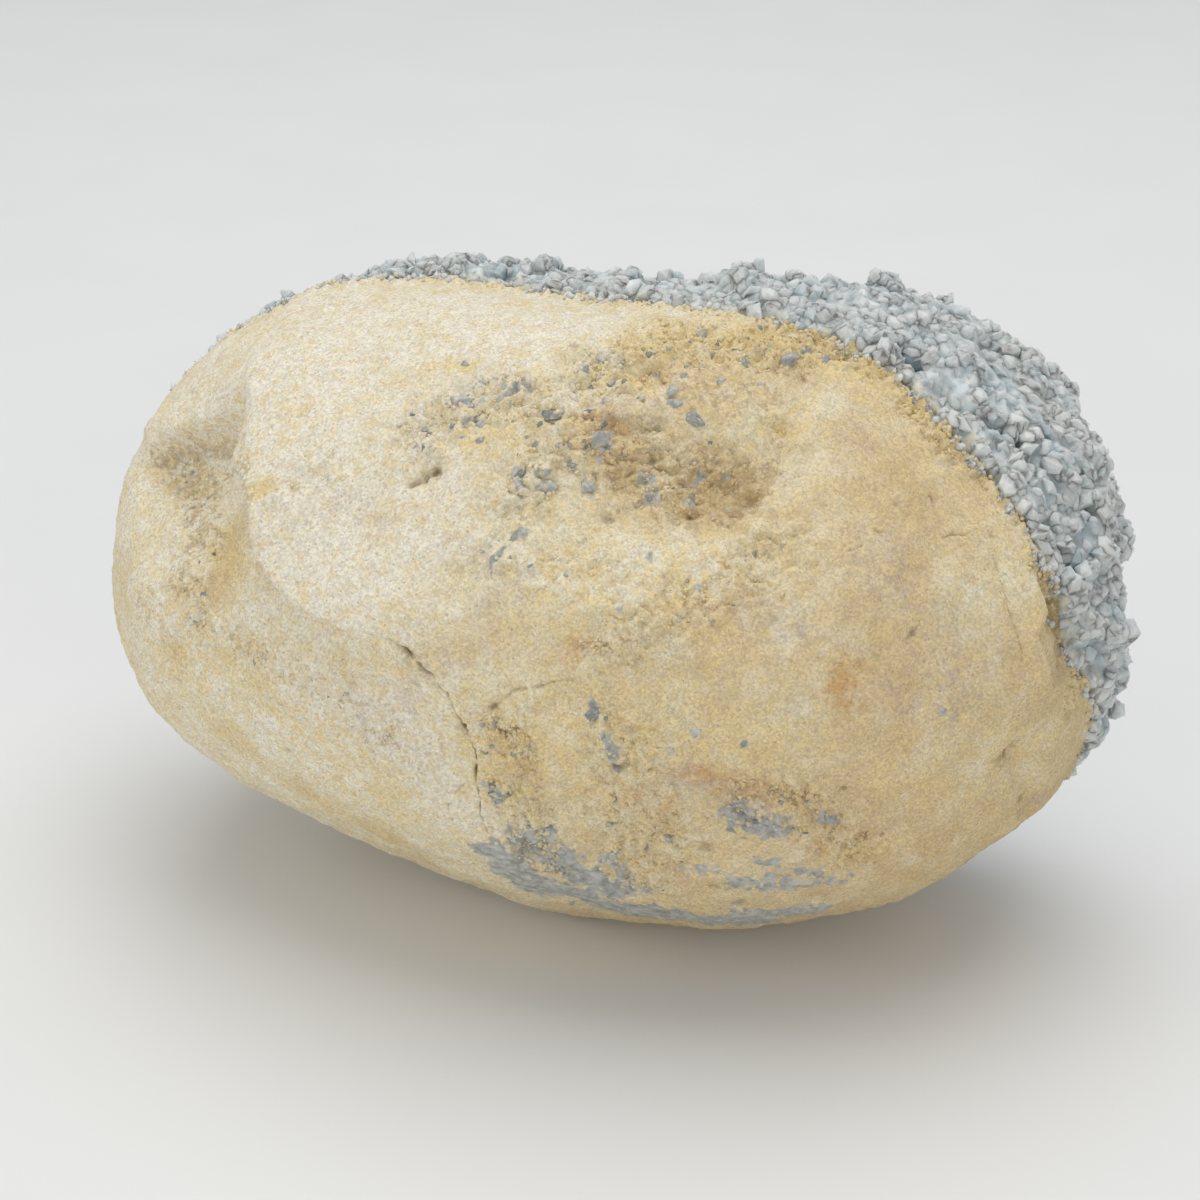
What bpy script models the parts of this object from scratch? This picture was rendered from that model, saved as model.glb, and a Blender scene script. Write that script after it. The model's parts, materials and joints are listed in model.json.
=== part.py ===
# Celestite geode: an egg-shaped limestone nodule, broken open at its back, with a crust of
# blue celestite crystals that covers the broken rim and lines the hollow.
# Lengths are in metres. +X runs along the nodule, -Y is its rounded front, +Y looks out of the
# hollow, and Z = 0 is the small flat spot that it rests on.

import math
import random

import bmesh
import bpy
from mathutils import Matrix, Vector, noise
from mathutils.bvhtree import BVHTree

MM = 0.001

# The whole nodule, before it was broken open
LENGTH = 184 * MM
DEPTH = 120 * MM
HEIGHT = 114 * MM
FLAT_CUT = 1.4 * MM
CENTRE = Vector((0, 0, HEIGHT / 2 - FLAT_CUT))

# The hollow and the crust that lines it
CREST_Y = 29 * MM
HOLLOW_DEPTH = 52 * MM
MOUTH_LENGTH = 122 * MM
MOUTH_HEIGHT = 60 * MM
CRUST_ON_WALL = 8 * MM
CRUST_ON_RIM = 5 * MM
CRUST_AT_EDGE = 3 * MM
CONTACT_GAP = 0.35 * MM
BIG_LUMP, BIG_LUMP_SPACING = 2.0 * MM, 13 * MM
SMALL_LUMP, SMALL_LUMP_SPACING = 0.9 * MM, 5 * MM

# The opening's cutter reaches past the nodule by these
CUTTER_ABOVE_SKIN = 8 * MM
CUTTER_BACK_Y = 80 * MM
CUTTER_FLARE = 30 * MM

# Mesh density
CUBE_CUTS = 19
SECTORS = 40
SEED = 27

# Where the limestone skin ends and the crystals begin: Y at every 20 degrees round the hollow,
# starting at the +X end and going over the top
SKIN_EDGE = [y * MM for y in (-14, -21, -16, -7, -4, 3, 6, 4, 3,
                              7, 11, 15, 18, 20, 20, 16, 8, -2)]

# Rounded swellings and dents of the skin: name, centre, reach, height
SWELLINGS = (
    ("shoulder", (60, 20, 95), 42, 5.6),
    ("saddle on top", (-4, 18, 109), 44, -7.2),
    ("left top", (-66, -2, 92), 34, 2.2),
    ("left end", (-78, -26, 36), 38, 2.6),
    ("flat lower left", (-27, -38, 12), 34, -2.4),
    ("right end", (92, 4, 56), 36, -6.2),
    ("belly", (44, -28, 11), 38, 2.8),
    ("keel", (-4, -38, 8), 22, 1.0),
    ("underside", (2, -14, 0), 30, 2.2),
    ("underside, back", (0, 17, 2), 36, -2.6),
    ("right dome", (54, -46, 72), 34, 2.0),
    ("left dent, upper", (-66, -32, 82), 22, -5.0),
    ("left dent, lower", (-56, -46, 66), 19, -4.0),
    ("middle dent", (28, -42, 91), 23, -6.0),
    ("middle dent, left arm", (6, -45, 90), 17, -3.0),
    ("ridge under the dent", (20, -53, 76), 13, 1.4),
    ("pocket at the right end", (86, -20, 64), 10, -4.0),
    ("hollow at the lower right", (80, -30, 47), 16, -3.0),
    ("slit", (-17, -45, 92), 5, -1.6),
)

# Large and small unevenness of the skin
SWELL, SWELL_SPACING = 1.1 * MM, 26 * MM
BUMP, BUMP_SPACING = 0.5 * MM, 9 * MM
RAGGED_EDGE = 1.2 * MM
LEDGE_EDGE = 1.5 * MM

# Ledges: name, points along the foot, height of the step, reach of the raised side.
# The raised side is on the left of someone who walks along the points on the stone's skin.
LEDGES = (
    ("lip of the left slab", ((-57, -24, 96), (-54, -34, 88), (-48, -44, 80), (-40, -52, 70),
                              (-27, -57, 66)), 3.0, 24),
    ("crack block", ((-20, -57, 68), (-12, -59, 62), (-5, -60, 54), (-5, -57, 38)), 1.5, 16),
    ("fold at the right end", ((84, -30, 54), (83, -26, 66), (80, -20, 78), (77, -15, 85)),
     2.6, 16),
)

# Crystals: smallest and largest width, lean, height for the width, depth sunk in the crust
RIM_CRYSTAL = ((4.0 * MM, 6.5 * MM), 0.3, 0.55, 1.0 * MM)
CREST_CRYSTAL = ((5.0 * MM, 8.5 * MM), 0.3, 0.8, 2.0 * MM)
HOLLOW_CRYSTAL = ((7.0 * MM, 12.5 * MM), 0.35, 1.1, 2.4 * MM)

# Rows of crystals on the outer side of the rim: share of the way from the skin's edge to the
# crest, number of places round the rim, least growth that carries a crystal
RIM_ROWS = ((0.28, 30, 0.66), (0.54, 28, 0.66), (0.8, 26, 0.25))
CREST_PLACES = 26
# Rows of crystals in the hollow: slope in degrees, number of places round the hollow
HOLLOW_ROWS = ((18, 20), (36, 17), (54, 12), (72, 7), (86, 3))


def material(name, colour, roughness):
    """A plain material for one sub-part."""
    made = bpy.data.materials.new(name)
    made.use_nodes = True
    shader = made.node_tree.nodes["Principled BSDF"]
    shader.inputs["Base Color"].default_value = (*colour, 1)
    shader.inputs["Roughness"].default_value = roughness
    shader.inputs["Metallic"].default_value = 0
    return made


def falloff(share):
    """1 at the middle of a swelling, 0 at its reach and beyond, and level at both ends."""
    return (1 - share * share) ** 2 if share < 1 else 0.0


def nearest_on_path(point, path):
    """The nearest point of a path, and the path's direction there."""
    best = None
    for start, end in zip(path, path[1:]):
        along = end - start
        share = (point - start).dot(along) / along.length_squared
        share = min(1.0, max(0.0, share))
        foot = start + along * share
        distance = (point - foot).length
        if best is None or distance < best[0]:
            best = (distance, foot, along.normalized())
    return best


def ledge_height(point, normal, path, step, reach):
    """Height of a ledge: full at the foot on its raised side, fading away from it, none below."""
    distance, foot, along = nearest_on_path(point, path)
    if distance > reach:
        return 0.0
    side = (point - foot).dot(normal.cross(along))
    raised = min(1.0, max(0.0, side / LEDGE_EDGE + 0.5))
    return step * raised * falloff(distance / reach)


SWELLING_VALUES = [(Vector(at) * MM, reach * MM, height * MM)
                   for _, at, reach, height in SWELLINGS]
LEDGE_VALUES = [([Vector(p) * MM for p in path], step * MM, reach * MM)
                for _, path, step, reach in LEDGES]


def nodule_point(direction):
    """Point and normal of the nodule's skin, for a direction of the unit sphere."""
    half = Vector((LENGTH / 2, DEPTH / 2, HEIGHT / 2))
    point = CENTRE + direction * half
    normal = Vector(d / h for d, h in zip(direction, half)).normalized()
    height = 0.0
    for at, reach, swell in SWELLING_VALUES:
        height += swell * falloff((point - at).length / reach)
    for path, step, reach in LEDGE_VALUES:
        height += ledge_height(point, normal, path, step, reach)
    height += SWELL * noise.noise(point / SWELL_SPACING)
    height += BUMP * noise.noise(point / BUMP_SPACING)
    return point + normal * height, normal


def skin_edge_y(angle):
    """Y of the skin's broken edge at an angle round the hollow, as a closed smooth curve."""
    count = len(SKIN_EDGE)
    place = (angle / (2 * math.pi)) % 1 * count
    i = int(place)
    t = place - i
    before, here, after, later = (SKIN_EDGE[(i + k) % count] for k in (-1, 0, 1, 2))
    curve = here + 0.5 * t * (after - before + t * (
        2 * before - 5 * here + 4 * after - later + t * (3 * (here - after) + later - before)))
    ragged = RAGGED_EDGE * noise.noise(Vector((math.cos(angle), math.sin(angle), 0)) * 4.3)
    return curve + ragged


def on_skin(angle, y):
    """Point and normal of the skin at an angle round the hollow and a depth Y."""
    share = 2 * y / DEPTH
    around = math.sqrt(1 - share * share)
    return nodule_point(Vector((math.cos(angle) * around, share, math.sin(angle) * around)))


def in_hollow(angle, slope, thicker):
    """Point of the hollow's wall. slope is 0 at the mouth and 90 degrees at the bottom."""
    out = math.cos(slope)
    return CENTRE + Vector((
        math.cos(angle) * out * (MOUTH_LENGTH / 2 + thicker),
        CREST_Y - math.sin(slope) * (HOLLOW_DEPTH + thicker),
        math.sin(angle) * out * (MOUTH_HEIGHT / 2 + thicker)))


def contact_profile(angle):
    """Where limestone and crust meet, from the skin's edge over the rim to the hollow."""
    edge = skin_edge_y(angle)
    profile = []
    back = CREST_Y - CRUST_ON_RIM
    for share, depth in ((0.0, CRUST_AT_EDGE), (0.3, CRUST_ON_RIM), (0.75, CRUST_ON_RIM)):
        point, normal = on_skin(angle, edge + (back - edge) * share)
        profile.append(point - normal * depth)
    outer, normal = on_skin(angle, back)
    profile.append(outer - normal * (CRUST_ON_RIM + 1 * MM))
    for degrees in (14, 34, 54, 74):
        profile.append(in_hollow(angle, math.radians(degrees), CRUST_ON_WALL))
    return profile


def ring_angles():
    return [2 * math.pi * k / SECTORS for k in range(SECTORS)]


def add_rings(mesh, rings):
    """Adds closed rings of points and joins each to the next."""
    made = [[mesh.verts.new(p) for p in ring] for ring in rings]
    for one, two in zip(made, made[1:]):
        bridge(mesh, one, two)
    return made


def bridge(mesh, one, two):
    """Joins two rings with pairs of triangles.

    The pairs are always split the same way, so two surfaces from the same rings stay parallel.
    """
    for k in range(len(one)):
        j = (k + 1) % len(one)
        mesh.faces.new((one[k], one[j], two[j]))
        mesh.faces.new((one[k], two[j], two[k]))


def close_ring(mesh, ring, point):
    """Closes a ring with a fan of faces to one point."""
    tip = mesh.verts.new(point)
    for k in range(len(ring)):
        mesh.faces.new((ring[k], ring[(k + 1) % len(ring)], tip))


def object_of(name, mesh, finish):
    """An object that holds a bmesh, with its normals made to point outwards."""
    bmesh.ops.recalc_face_normals(mesh, faces=mesh.faces)
    data = bpy.data.meshes.new(name)
    mesh.to_mesh(data)
    mesh.free()
    if finish is not None:
        data.materials.append(finish)
    made = bpy.data.objects.new(name, data)
    bpy.context.scene.collection.objects.link(made)
    return made


def hidden(helper):
    """Marks a helper that only cuts or joins."""
    helper.hide_render = True
    helper.display_type = "WIRE"
    return helper


def contact_rings(gap):
    """The contact's rings, and the bottom point, moved off the limestone by a gap."""
    middle = CENTRE + Vector((0, CREST_Y + 4 * MM, 0))
    rings = [[] for _ in contact_profile(0)]
    for angle in ring_angles():
        profile = contact_profile(angle)
        for k, point in enumerate(profile):
            before = profile[max(k - 1, 0)]
            after = profile[min(k + 1, len(profile) - 1)]
            along = (after - before).normalized()
            sideways = Vector((-math.sin(angle), 0, math.cos(angle)))
            off = along.cross(sideways).normalized()
            if k == 0:
                off += along
            rings[k].append(point + off * gap)
    bottom = in_hollow(0, math.pi / 2, CRUST_ON_WALL)
    bottom = bottom + (middle - bottom).normalized() * gap
    return rings, bottom


def opening_cutter():
    """All that is missing from the limestone: the crust, the hollow and what broke away."""
    mesh = bmesh.new()
    rings, bottom = contact_rings(0)
    above = []
    far = []
    for angle in ring_angles():
        point, normal = on_skin(angle, skin_edge_y(angle))
        above.append(point + normal * CUTTER_ABOVE_SKIN)
        out = (point - CENTRE).normalized()
        far.append(Vector((point.x, CUTTER_BACK_Y, point.z)) + out * CUTTER_FLARE)
    made = add_rings(mesh, [far, above, *rings])
    close_ring(mesh, made[-1], bottom)
    close_ring(mesh, made[0], CENTRE + Vector((0, CUTTER_BACK_Y, 0)))
    return hidden(object_of("opening_cutter", mesh, None))


def limestone_nodule():
    """The host rock: a cube made round, shaped into the nodule, with the opening cut out."""
    mesh = bmesh.new()
    bmesh.ops.create_cube(mesh, size=2)
    bmesh.ops.subdivide_edges(mesh, edges=mesh.edges, cuts=CUBE_CUTS, use_grid_fill=True)
    for vertex in mesh.verts:
        spread = Vector(math.tan(c * math.pi / 4) for c in vertex.co)
        point, _ = nodule_point(spread.normalized())
        vertex.co = Vector((point.x, point.y, max(point.z, 0)))
    stone = object_of("limestone_nodule", mesh, material("limestone", (0.62, 0.52, 0.36), 0.9))
    stone.data.shade_smooth()
    stone.data.set_sharp_from_angle(angle=math.radians(40))
    cut = stone.modifiers.new("opening", "BOOLEAN")
    cut.object = opening_cutter()
    cut.operation = "DIFFERENCE"
    cut.solver = "EXACT"
    return stone


def lumps(point):
    """Clusters of crystals make the crust lumpy."""
    big = BIG_LUMP * noise.noise(point / BIG_LUMP_SPACING)
    return big + SMALL_LUMP * noise.noise(point / SMALL_LUMP_SPACING)


def growth(angle):
    """How freely the crystals grew: 1 on top and at the +X end, less at the -X end.

    It is 0 underneath, where the crust stays clear of the ground.
    """
    down = max(0.0, -math.sin(angle))
    left = max(0.0, -math.cos(angle))
    return (1 - min(1.0, 1.6 * down * down)) * (1 - 0.7 * left)


def crust_profile(angle):
    """The visible side of the crust, from the skin's edge over the crest to the hollow."""
    edge = skin_edge_y(angle) + CONTACT_GAP
    free = growth(angle)
    profile = []
    for share, proud in ((0.0, -0.6), (0.12, 0.6), (0.38, 1.2), (0.66, 1.0), (0.9, -0.6)):
        point, normal = on_skin(angle, edge + (CREST_Y - edge) * share)
        rise = proud * MM + (lumps(point) if share > 0 else 0) * (0.35 + 0.65 * free)
        if rise > 0:
            rise *= free
        profile.append(point + normal * rise)
    outer = profile[-1]
    inner = in_hollow(angle, math.radians(4), 0)
    for share, back in ((0.3, 3.0), (0.68, 2.2)):
        point = outer.lerp(inner, share) + Vector((0, back * MM, 0))
        profile.append(point + Vector((0, 1, 0)) * lumps(point))
    for degrees in (8, 26, 44, 62, 78):
        point = in_hollow(angle, math.radians(degrees), 0)
        inward = (CENTRE + Vector((0, CREST_Y, 0)) - point).normalized()
        profile.append(point + inward * lumps(point))
    return profile


def crust_skin():
    """The crust without its crystals, as one closed cup."""
    mesh = bmesh.new()
    inner_rings, inner_bottom = contact_rings(CONTACT_GAP)
    outer_rings = [list(ring) for ring in zip(*(crust_profile(a) for a in ring_angles()))]
    inner = add_rings(mesh, inner_rings)
    outer = add_rings(mesh, outer_rings)
    bridge(mesh, inner[0], outer[0])
    close_ring(mesh, inner[-1], inner_bottom)
    close_ring(mesh, outer[-1], in_hollow(0, math.pi / 2, 0))
    return object_of("celestite_crust", mesh, material("celestite", (0.42, 0.53, 0.60), 0.3))


def add_crystal(mesh, place, width, thickness, height, sunk):
    """One crystal: a four-sided prism with a chisel-shaped end, sunk into the crust."""
    shoulder = height * 0.62
    x, y = width / 2, thickness / 2
    ridge = x * 0.45
    corners = [(-x, -y), (x, -y), (x, y), (-x, y)]
    low = [mesh.verts.new(place @ Vector((cx, cy, -sunk))) for cx, cy in corners]
    high = [mesh.verts.new(place @ Vector((cx * 0.94, cy * 0.94, shoulder))) for cx, cy in corners]
    ends = [mesh.verts.new(place @ Vector((cx, 0, height))) for cx in (-ridge, ridge)]
    mesh.faces.new(reversed(low))
    for k in range(4):
        j = (k + 1) % 4
        mesh.faces.new((low[k], low[j], high[j], high[k]))
    mesh.faces.new((high[0], high[1], ends[1], ends[0]))
    mesh.faces.new((high[2], high[3], ends[0], ends[1]))
    mesh.faces.new((high[1], high[2], ends[1]))
    mesh.faces.new((high[3], high[0], ends[0]))


def turned_to(point, axis, spin):
    """A placing matrix at a point, with its Z along an axis."""
    turn = axis.to_track_quat("Z", "Y").to_matrix().to_4x4()
    return Matrix.Translation(point) @ turn @ Matrix.Rotation(spin, 4, "Z")


def crystal_starts(pick):
    """Where crystals are aimed from: a point off the crust, a direction, and the crystal's kind."""
    for share, count, least_growth in RIM_ROWS:
        for angle in spread_angles(count, pick):
            if growth(angle) >= least_growth:
                edge = skin_edge_y(angle)
                point, normal = on_skin(angle, edge + (CREST_Y - edge) * share)
                yield point + normal * 20 * MM, -normal, RIM_CRYSTAL
    for angle in spread_angles(CREST_PLACES, pick):
        outer, _ = on_skin(angle, CREST_Y)
        point = outer.lerp(in_hollow(angle, 0, 0), pick.uniform(0.25, 0.8))
        yield point + Vector((0, 30 * MM, 0)), Vector((0, -1, 0)), CREST_CRYSTAL
    middle = CENTRE + Vector((0, CREST_Y - 8 * MM, 0))
    for degrees, count in HOLLOW_ROWS:
        for angle in spread_angles(count, pick):
            slope = math.radians(degrees + pick.uniform(-6, 6))
            aim = in_hollow(angle, slope, 0) - middle
            yield middle, aim.normalized(), HOLLOW_CRYSTAL


def spread_angles(count, pick):
    """Angles round the hollow, one in each of a number of equal places."""
    return [2 * math.pi * (k + pick.uniform(0.1, 0.9)) / count for k in range(count)]


def crystal_points(crust):
    """All the large crystals, each standing on the crust about square to its surface."""
    faces = [p.vertices for p in crust.data.polygons]
    tree = BVHTree.FromPolygons([v.co for v in crust.data.vertices], faces)
    pick = random.Random(SEED)
    mesh = bmesh.new()
    for origin, direction, kind in crystal_starts(pick):
        point, normal, _, _ = tree.ray_cast(origin, direction)
        if point is None:
            continue
        if normal.dot(direction) > 0:
            normal = -normal
        widths, lean, tall, sunk = kind
        axis = normal + Vector(pick.uniform(-lean, lean) for _ in range(3))
        place = turned_to(point, axis.normalized(), pick.uniform(0, math.pi))
        width = pick.uniform(*widths)
        thickness = width * pick.uniform(0.6, 0.9)
        add_crystal(mesh, place, width, thickness, width * pick.uniform(0.6, 1) * tall, sunk)
    return hidden(object_of("crystal_points", mesh, None))


def celestite_crust():
    """The crust with its crystals joined into it."""
    crust = crust_skin()
    join = crust.modifiers.new("crystals", "BOOLEAN")
    join.object = crystal_points(crust)
    join.operation = "UNION"
    join.solver = "EXACT"
    join.use_self = True
    fill_closed_voids(crust)
    return crust


def fill_closed_voids(solid):
    """Applies the modifiers and keeps only the outer surface, so nothing inside is hollow."""
    mesh = bmesh.new()
    mesh.from_object(solid, bpy.context.evaluated_depsgraph_get())
    islands = []
    waiting = set(mesh.faces)
    while waiting:
        front = [waiting.pop()]
        island = []
        while front:
            face = front.pop()
            island.append(face)
            near = {f for edge in face.edges for f in edge.link_faces} & waiting
            waiting -= near
            front.extend(near)
        islands.append(island)
    islands.sort(key=len)
    for island in islands[:-1]:
        bmesh.ops.delete(mesh, geom=island, context="FACES")
    solid.modifiers.clear()
    mesh.to_mesh(solid.data)
    mesh.free()


def clear_scene():
    for old in list(bpy.data.objects):
        bpy.data.objects.remove(old)


def stand_on_origin(solids):
    """Moves every mesh so that the origin is in the middle of the model's footprint."""
    graph = bpy.context.evaluated_depsgraph_get()
    corners = [Vector(c) for solid in solids for c in solid.evaluated_get(graph).bound_box]
    middle_x = (min(c.x for c in corners) + max(c.x for c in corners)) / 2
    middle_y = (min(c.y for c in corners) + max(c.y for c in corners)) / 2
    for made in bpy.data.objects:
        made.data.transform(Matrix.Translation((-middle_x, -middle_y, 0)))


clear_scene()
stand_on_origin([limestone_nodule(), celestite_crust()])
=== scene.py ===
# %% [markdown]
# # A celestite geode, seen from its rock back
# A celestite geode is a nodule of sandy limestone with a hollow inside, and pale blue crystals grow
# all over the wall of that hollow. This one has been broken open at the back, so the front shows the
# rock and only a band of crystals looks over its edge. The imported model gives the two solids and
# their places. This script gives them their skin, their crystals and their finish.

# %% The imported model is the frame
import json
import math
import random

import bpy
import numpy as np
from mathutils import Matrix, Vector, noise
from mathutils.bvhtree import BVHTree
from mathutils.kdtree import KDTree

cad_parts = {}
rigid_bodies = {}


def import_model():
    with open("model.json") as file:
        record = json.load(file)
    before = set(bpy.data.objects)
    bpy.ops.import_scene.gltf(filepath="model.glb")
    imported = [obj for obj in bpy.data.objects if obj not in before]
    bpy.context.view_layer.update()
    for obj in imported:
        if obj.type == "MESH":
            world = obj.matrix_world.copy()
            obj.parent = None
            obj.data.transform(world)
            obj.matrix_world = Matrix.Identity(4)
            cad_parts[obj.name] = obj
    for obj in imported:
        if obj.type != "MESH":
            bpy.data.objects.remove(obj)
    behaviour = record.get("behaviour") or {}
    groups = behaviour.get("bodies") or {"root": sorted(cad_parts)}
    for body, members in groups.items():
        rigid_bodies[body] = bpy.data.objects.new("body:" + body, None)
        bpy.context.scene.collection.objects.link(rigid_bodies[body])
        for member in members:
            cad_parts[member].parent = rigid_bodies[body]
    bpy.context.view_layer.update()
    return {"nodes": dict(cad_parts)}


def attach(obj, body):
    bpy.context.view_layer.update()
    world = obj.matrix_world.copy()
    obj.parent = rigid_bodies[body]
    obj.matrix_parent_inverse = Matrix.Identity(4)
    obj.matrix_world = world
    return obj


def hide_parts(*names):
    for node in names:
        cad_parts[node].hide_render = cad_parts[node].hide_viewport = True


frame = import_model()
MM = 0.001
noise.seed_set(12)  # without a seed, noise_vector takes one from the clock
print("CAD nodes:", sorted(frame["nodes"]))

# %% [markdown]
# ## The camera
# The photograph looks down on the stone from the front right with a longish lens. The camera is made
# first, because the marks of the skin are placed by looking through it: a ray goes from the camera
# through a pixel of the 1200 x 1200 photograph, and where it meets the stone, the mark is set.

# %% The camera
LENS = 85
AZIMUTH = math.radians(18)
ELEVATION = math.radians(25)
DISTANCE = 500 * MM
AIM = Vector((-0.85, 11.42, 52.88)) * MM
BACKWARD = Vector((math.sin(AZIMUTH) * math.cos(ELEVATION),
                   -math.cos(AZIMUTH) * math.cos(ELEVATION), math.sin(ELEVATION)))
RIGHT = Vector((math.cos(AZIMUTH), math.sin(AZIMUTH), 0))
UP = BACKWARD.cross(RIGHT)
EYE = AIM + BACKWARD * DISTANCE
PHOTO_MIDDLE = 600
PIXELS_PER_SLOPE = PHOTO_MIDDLE * LENS / 18

bpy.ops.object.select_all(action="DESELECT")
bpy.ops.object.camera_add(location=EYE, rotation=BACKWARD.to_track_quat("Z", "Y").to_euler())
camera = bpy.context.object
camera.name = "photo_camera"
camera.data.lens = LENS
camera.data.clip_end = 20
bpy.context.scene.camera = camera

# %% From a pixel to the stone
def tree_of(piece):
    """A search tree over an object's faces."""
    mesh = piece.data
    return BVHTree.FromPolygons([v.co for v in mesh.vertices], [p.vertices for p in mesh.polygons])


stone_tree = tree_of(frame["nodes"]["limestone_nodule"])
crust_tree = tree_of(frame["nodes"]["celestite_crust"])


def seen_at(tree, x, y):
    """The point of a surface that shows at a pixel of the photograph."""
    ray = (-BACKWARD + RIGHT * (x - PHOTO_MIDDLE) / PIXELS_PER_SLOPE
           + UP * (PHOTO_MIDDLE - y) / PIXELS_PER_SLOPE).normalized()
    point = tree.ray_cast(EYE, ray)[0]
    if point is None:
        closest = EYE + ray * (AIM - EYE).dot(ray)
        point = tree.find_nearest(closest)[0]
    return point


PIXEL = 0.176 * MM
print("middle of the photograph is on the stone at", seen_at(stone_tree, 600, 600))

# %% [markdown]
# ## Small helpers for modelling
# Blender's operators act on whatever is selected, so each step first selects its own piece and
# nothing else. A modifier is added, set and applied in one go.

# %% Selecting, copying and finishing
def only(piece):
    """Selects one piece and nothing else."""
    bpy.ops.object.select_all(action="DESELECT")
    piece.select_set(True)
    bpy.context.view_layer.objects.active = piece


def finished(piece, kind, **settings):
    """Adds a modifier to a piece, sets it and applies it."""
    only(piece)
    bpy.ops.object.modifier_add(type=kind)
    modifier = piece.modifiers[-1]
    for name, value in settings.items():
        setattr(modifier, name, value)
    bpy.ops.object.modifier_apply(modifier=modifier.name)


def copy_of_node(node, name):
    """A new piece with a copy of a CAD node's mesh, its loose triangles merged."""
    piece = bpy.data.objects.new(name, frame["nodes"][node].data.copy())
    bpy.context.scene.collection.objects.link(piece)
    piece.data.materials.clear()
    only(piece)
    bpy.ops.object.mode_set(mode="EDIT")
    bpy.ops.mesh.select_all(action="SELECT")
    bpy.ops.mesh.remove_doubles(threshold=0.02 * MM)
    bpy.ops.mesh.customdata_custom_splitnormals_clear()
    bpy.ops.object.mode_set(mode="OBJECT")
    return piece


def picked(piece, kind, chosen):
    """Enters edit mode with only these faces or points selected. kind is FACE or VERT."""
    only(piece)
    bpy.ops.object.mode_set(mode="EDIT")
    bpy.ops.mesh.select_mode(type=kind)
    bpy.ops.mesh.select_all(action="DESELECT")
    bpy.ops.object.mode_set(mode="OBJECT")
    parts = piece.data.polygons if kind == "FACE" else piece.data.vertices
    parts.foreach_set("select", np.asarray(chosen, bool))
    bpy.ops.object.mode_set(mode="EDIT")


def triangles(piece):
    return sum(len(p.vertices) - 2 for p in piece.data.polygons)


# %% [markdown]
# ## The rock's skin
# The real skin is a weathered crust of fine sand, smooth in the large and crumbly in places. The
# CAD solid has its form in faces of 5 mm, so a copy is rounded with subdivision, its broken edge held
# by a crease, and then remeshed to an even grid of small faces that can carry the marks.

# %% A fine, even skin
SKIN_FACE = 0.74 * MM
stone = copy_of_node("limestone_nodule", "nodule_skin")
bpy.ops.object.mode_set(mode="EDIT")
bpy.ops.mesh.select_all(action="SELECT")
bpy.ops.mesh.tris_convert_to_quads(face_threshold=math.radians(40), shape_threshold=math.radians(60))
bpy.ops.mesh.select_all(action="DESELECT")
bpy.ops.mesh.select_mode(type="EDGE")
bpy.ops.mesh.edges_select_sharp(sharpness=math.radians(40))
bpy.ops.transform.edge_crease(value=1)
bpy.ops.object.mode_set(mode="OBJECT")
finished(stone, "SUBSURF", levels=2, render_levels=2)
finished(stone, "REMESH", mode="VOXEL", voxel_size=SKIN_FACE, use_smooth_shade=True)
finished(stone, "SMOOTH", factor=0.5, iterations=3)
print("skin after the remesh:", triangles(stone), "triangles")

# %% [markdown]
# The side of the rock that lies against the crystal crust is never seen. Its faces are thinned out,
# and the triangles that this saves are spent on the cracks instead.

# %% Thin out the hidden side
HIDDEN_WITHIN = 0.9 * MM
picked(stone, "VERT", [crust_tree.find_nearest(v.co, HIDDEN_WITHIN)[0] is not None
                       for v in stone.data.vertices])
for _ in range(3):
    bpy.ops.mesh.select_less()
bpy.ops.object.mode_set(mode="OBJECT")
hidden_side = [v.index for v in stone.data.vertices if v.select]
group = stone.vertex_groups.new(name="hidden side")
group.add(hidden_side, 1.0, "REPLACE")
keep = 1 - 0.9 * len(hidden_side) / len(stone.data.vertices)
finished(stone, "DECIMATE", ratio=keep, vertex_group="hidden side")
stone.vertex_groups.clear()
print("skin after thinning:", triangles(stone), "triangles,", len(hidden_side), "hidden points")

# %% [markdown]
# ## Marks of the skin
# Each crack, lip and pit is a short line of pixels from the photograph, carried onto the stone. The
# faces close to the sharp ones are divided twice, so that a crack of half a millimetre has faces to
# run through.

# %% Lines of the skin, in pixels of the photograph
LEFT_LIP = ((248, 402), (243, 425), (238, 455), (247, 485), (254, 520), (262, 560), (275, 585),
            (292, 602), (315, 618), (342, 632), (360, 640), (378, 636))
MAIN_CRACK = ((376, 637), (382, 633), (395, 642), (408, 655),
              (430, 675), (446, 694), (451, 707), (462, 729), (474, 748), (476, 764), (478, 790),
              (480, 809), (486, 831), (490, 847))
CRACK_BRANCH = ((474, 777), (459, 788), (448, 805), (450, 820), (456, 836))
RIGHT_BRANCH = ((462, 728), (478, 722), (493, 708), (513, 690), (544, 684), (586, 681))
SHORT_CRACK = ((503, 727), (516, 742), (528, 758))
SLIT = ((404, 486), (414, 481), (424, 477), (433, 471), (442, 465))
END_LIP = ((1035, 566), (1041, 590), (1046, 612), (1040, 637), (1049, 664), (1055, 692))
END_CRACK = ((990, 545), (997, 572), (1008, 602), (1016, 630), (1022, 669))
FLAKE_EDGE = ((842, 612), (826, 622), (811, 636), (813, 652), (842, 661))
LOW_LEDGE = ((886, 796), (910, 787), (934, 776), (956, 770))
BROW = ((136, 466), (155, 449), (180, 438), (205, 431), (228, 420), (242, 408))
DENT_WALL = ((812, 395), (800, 430), (775, 465), (758, 500), (742, 530), (700, 560))
DENT_SHELF = ((585, 415), (610, 422), (640, 425), (664, 420))
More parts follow.
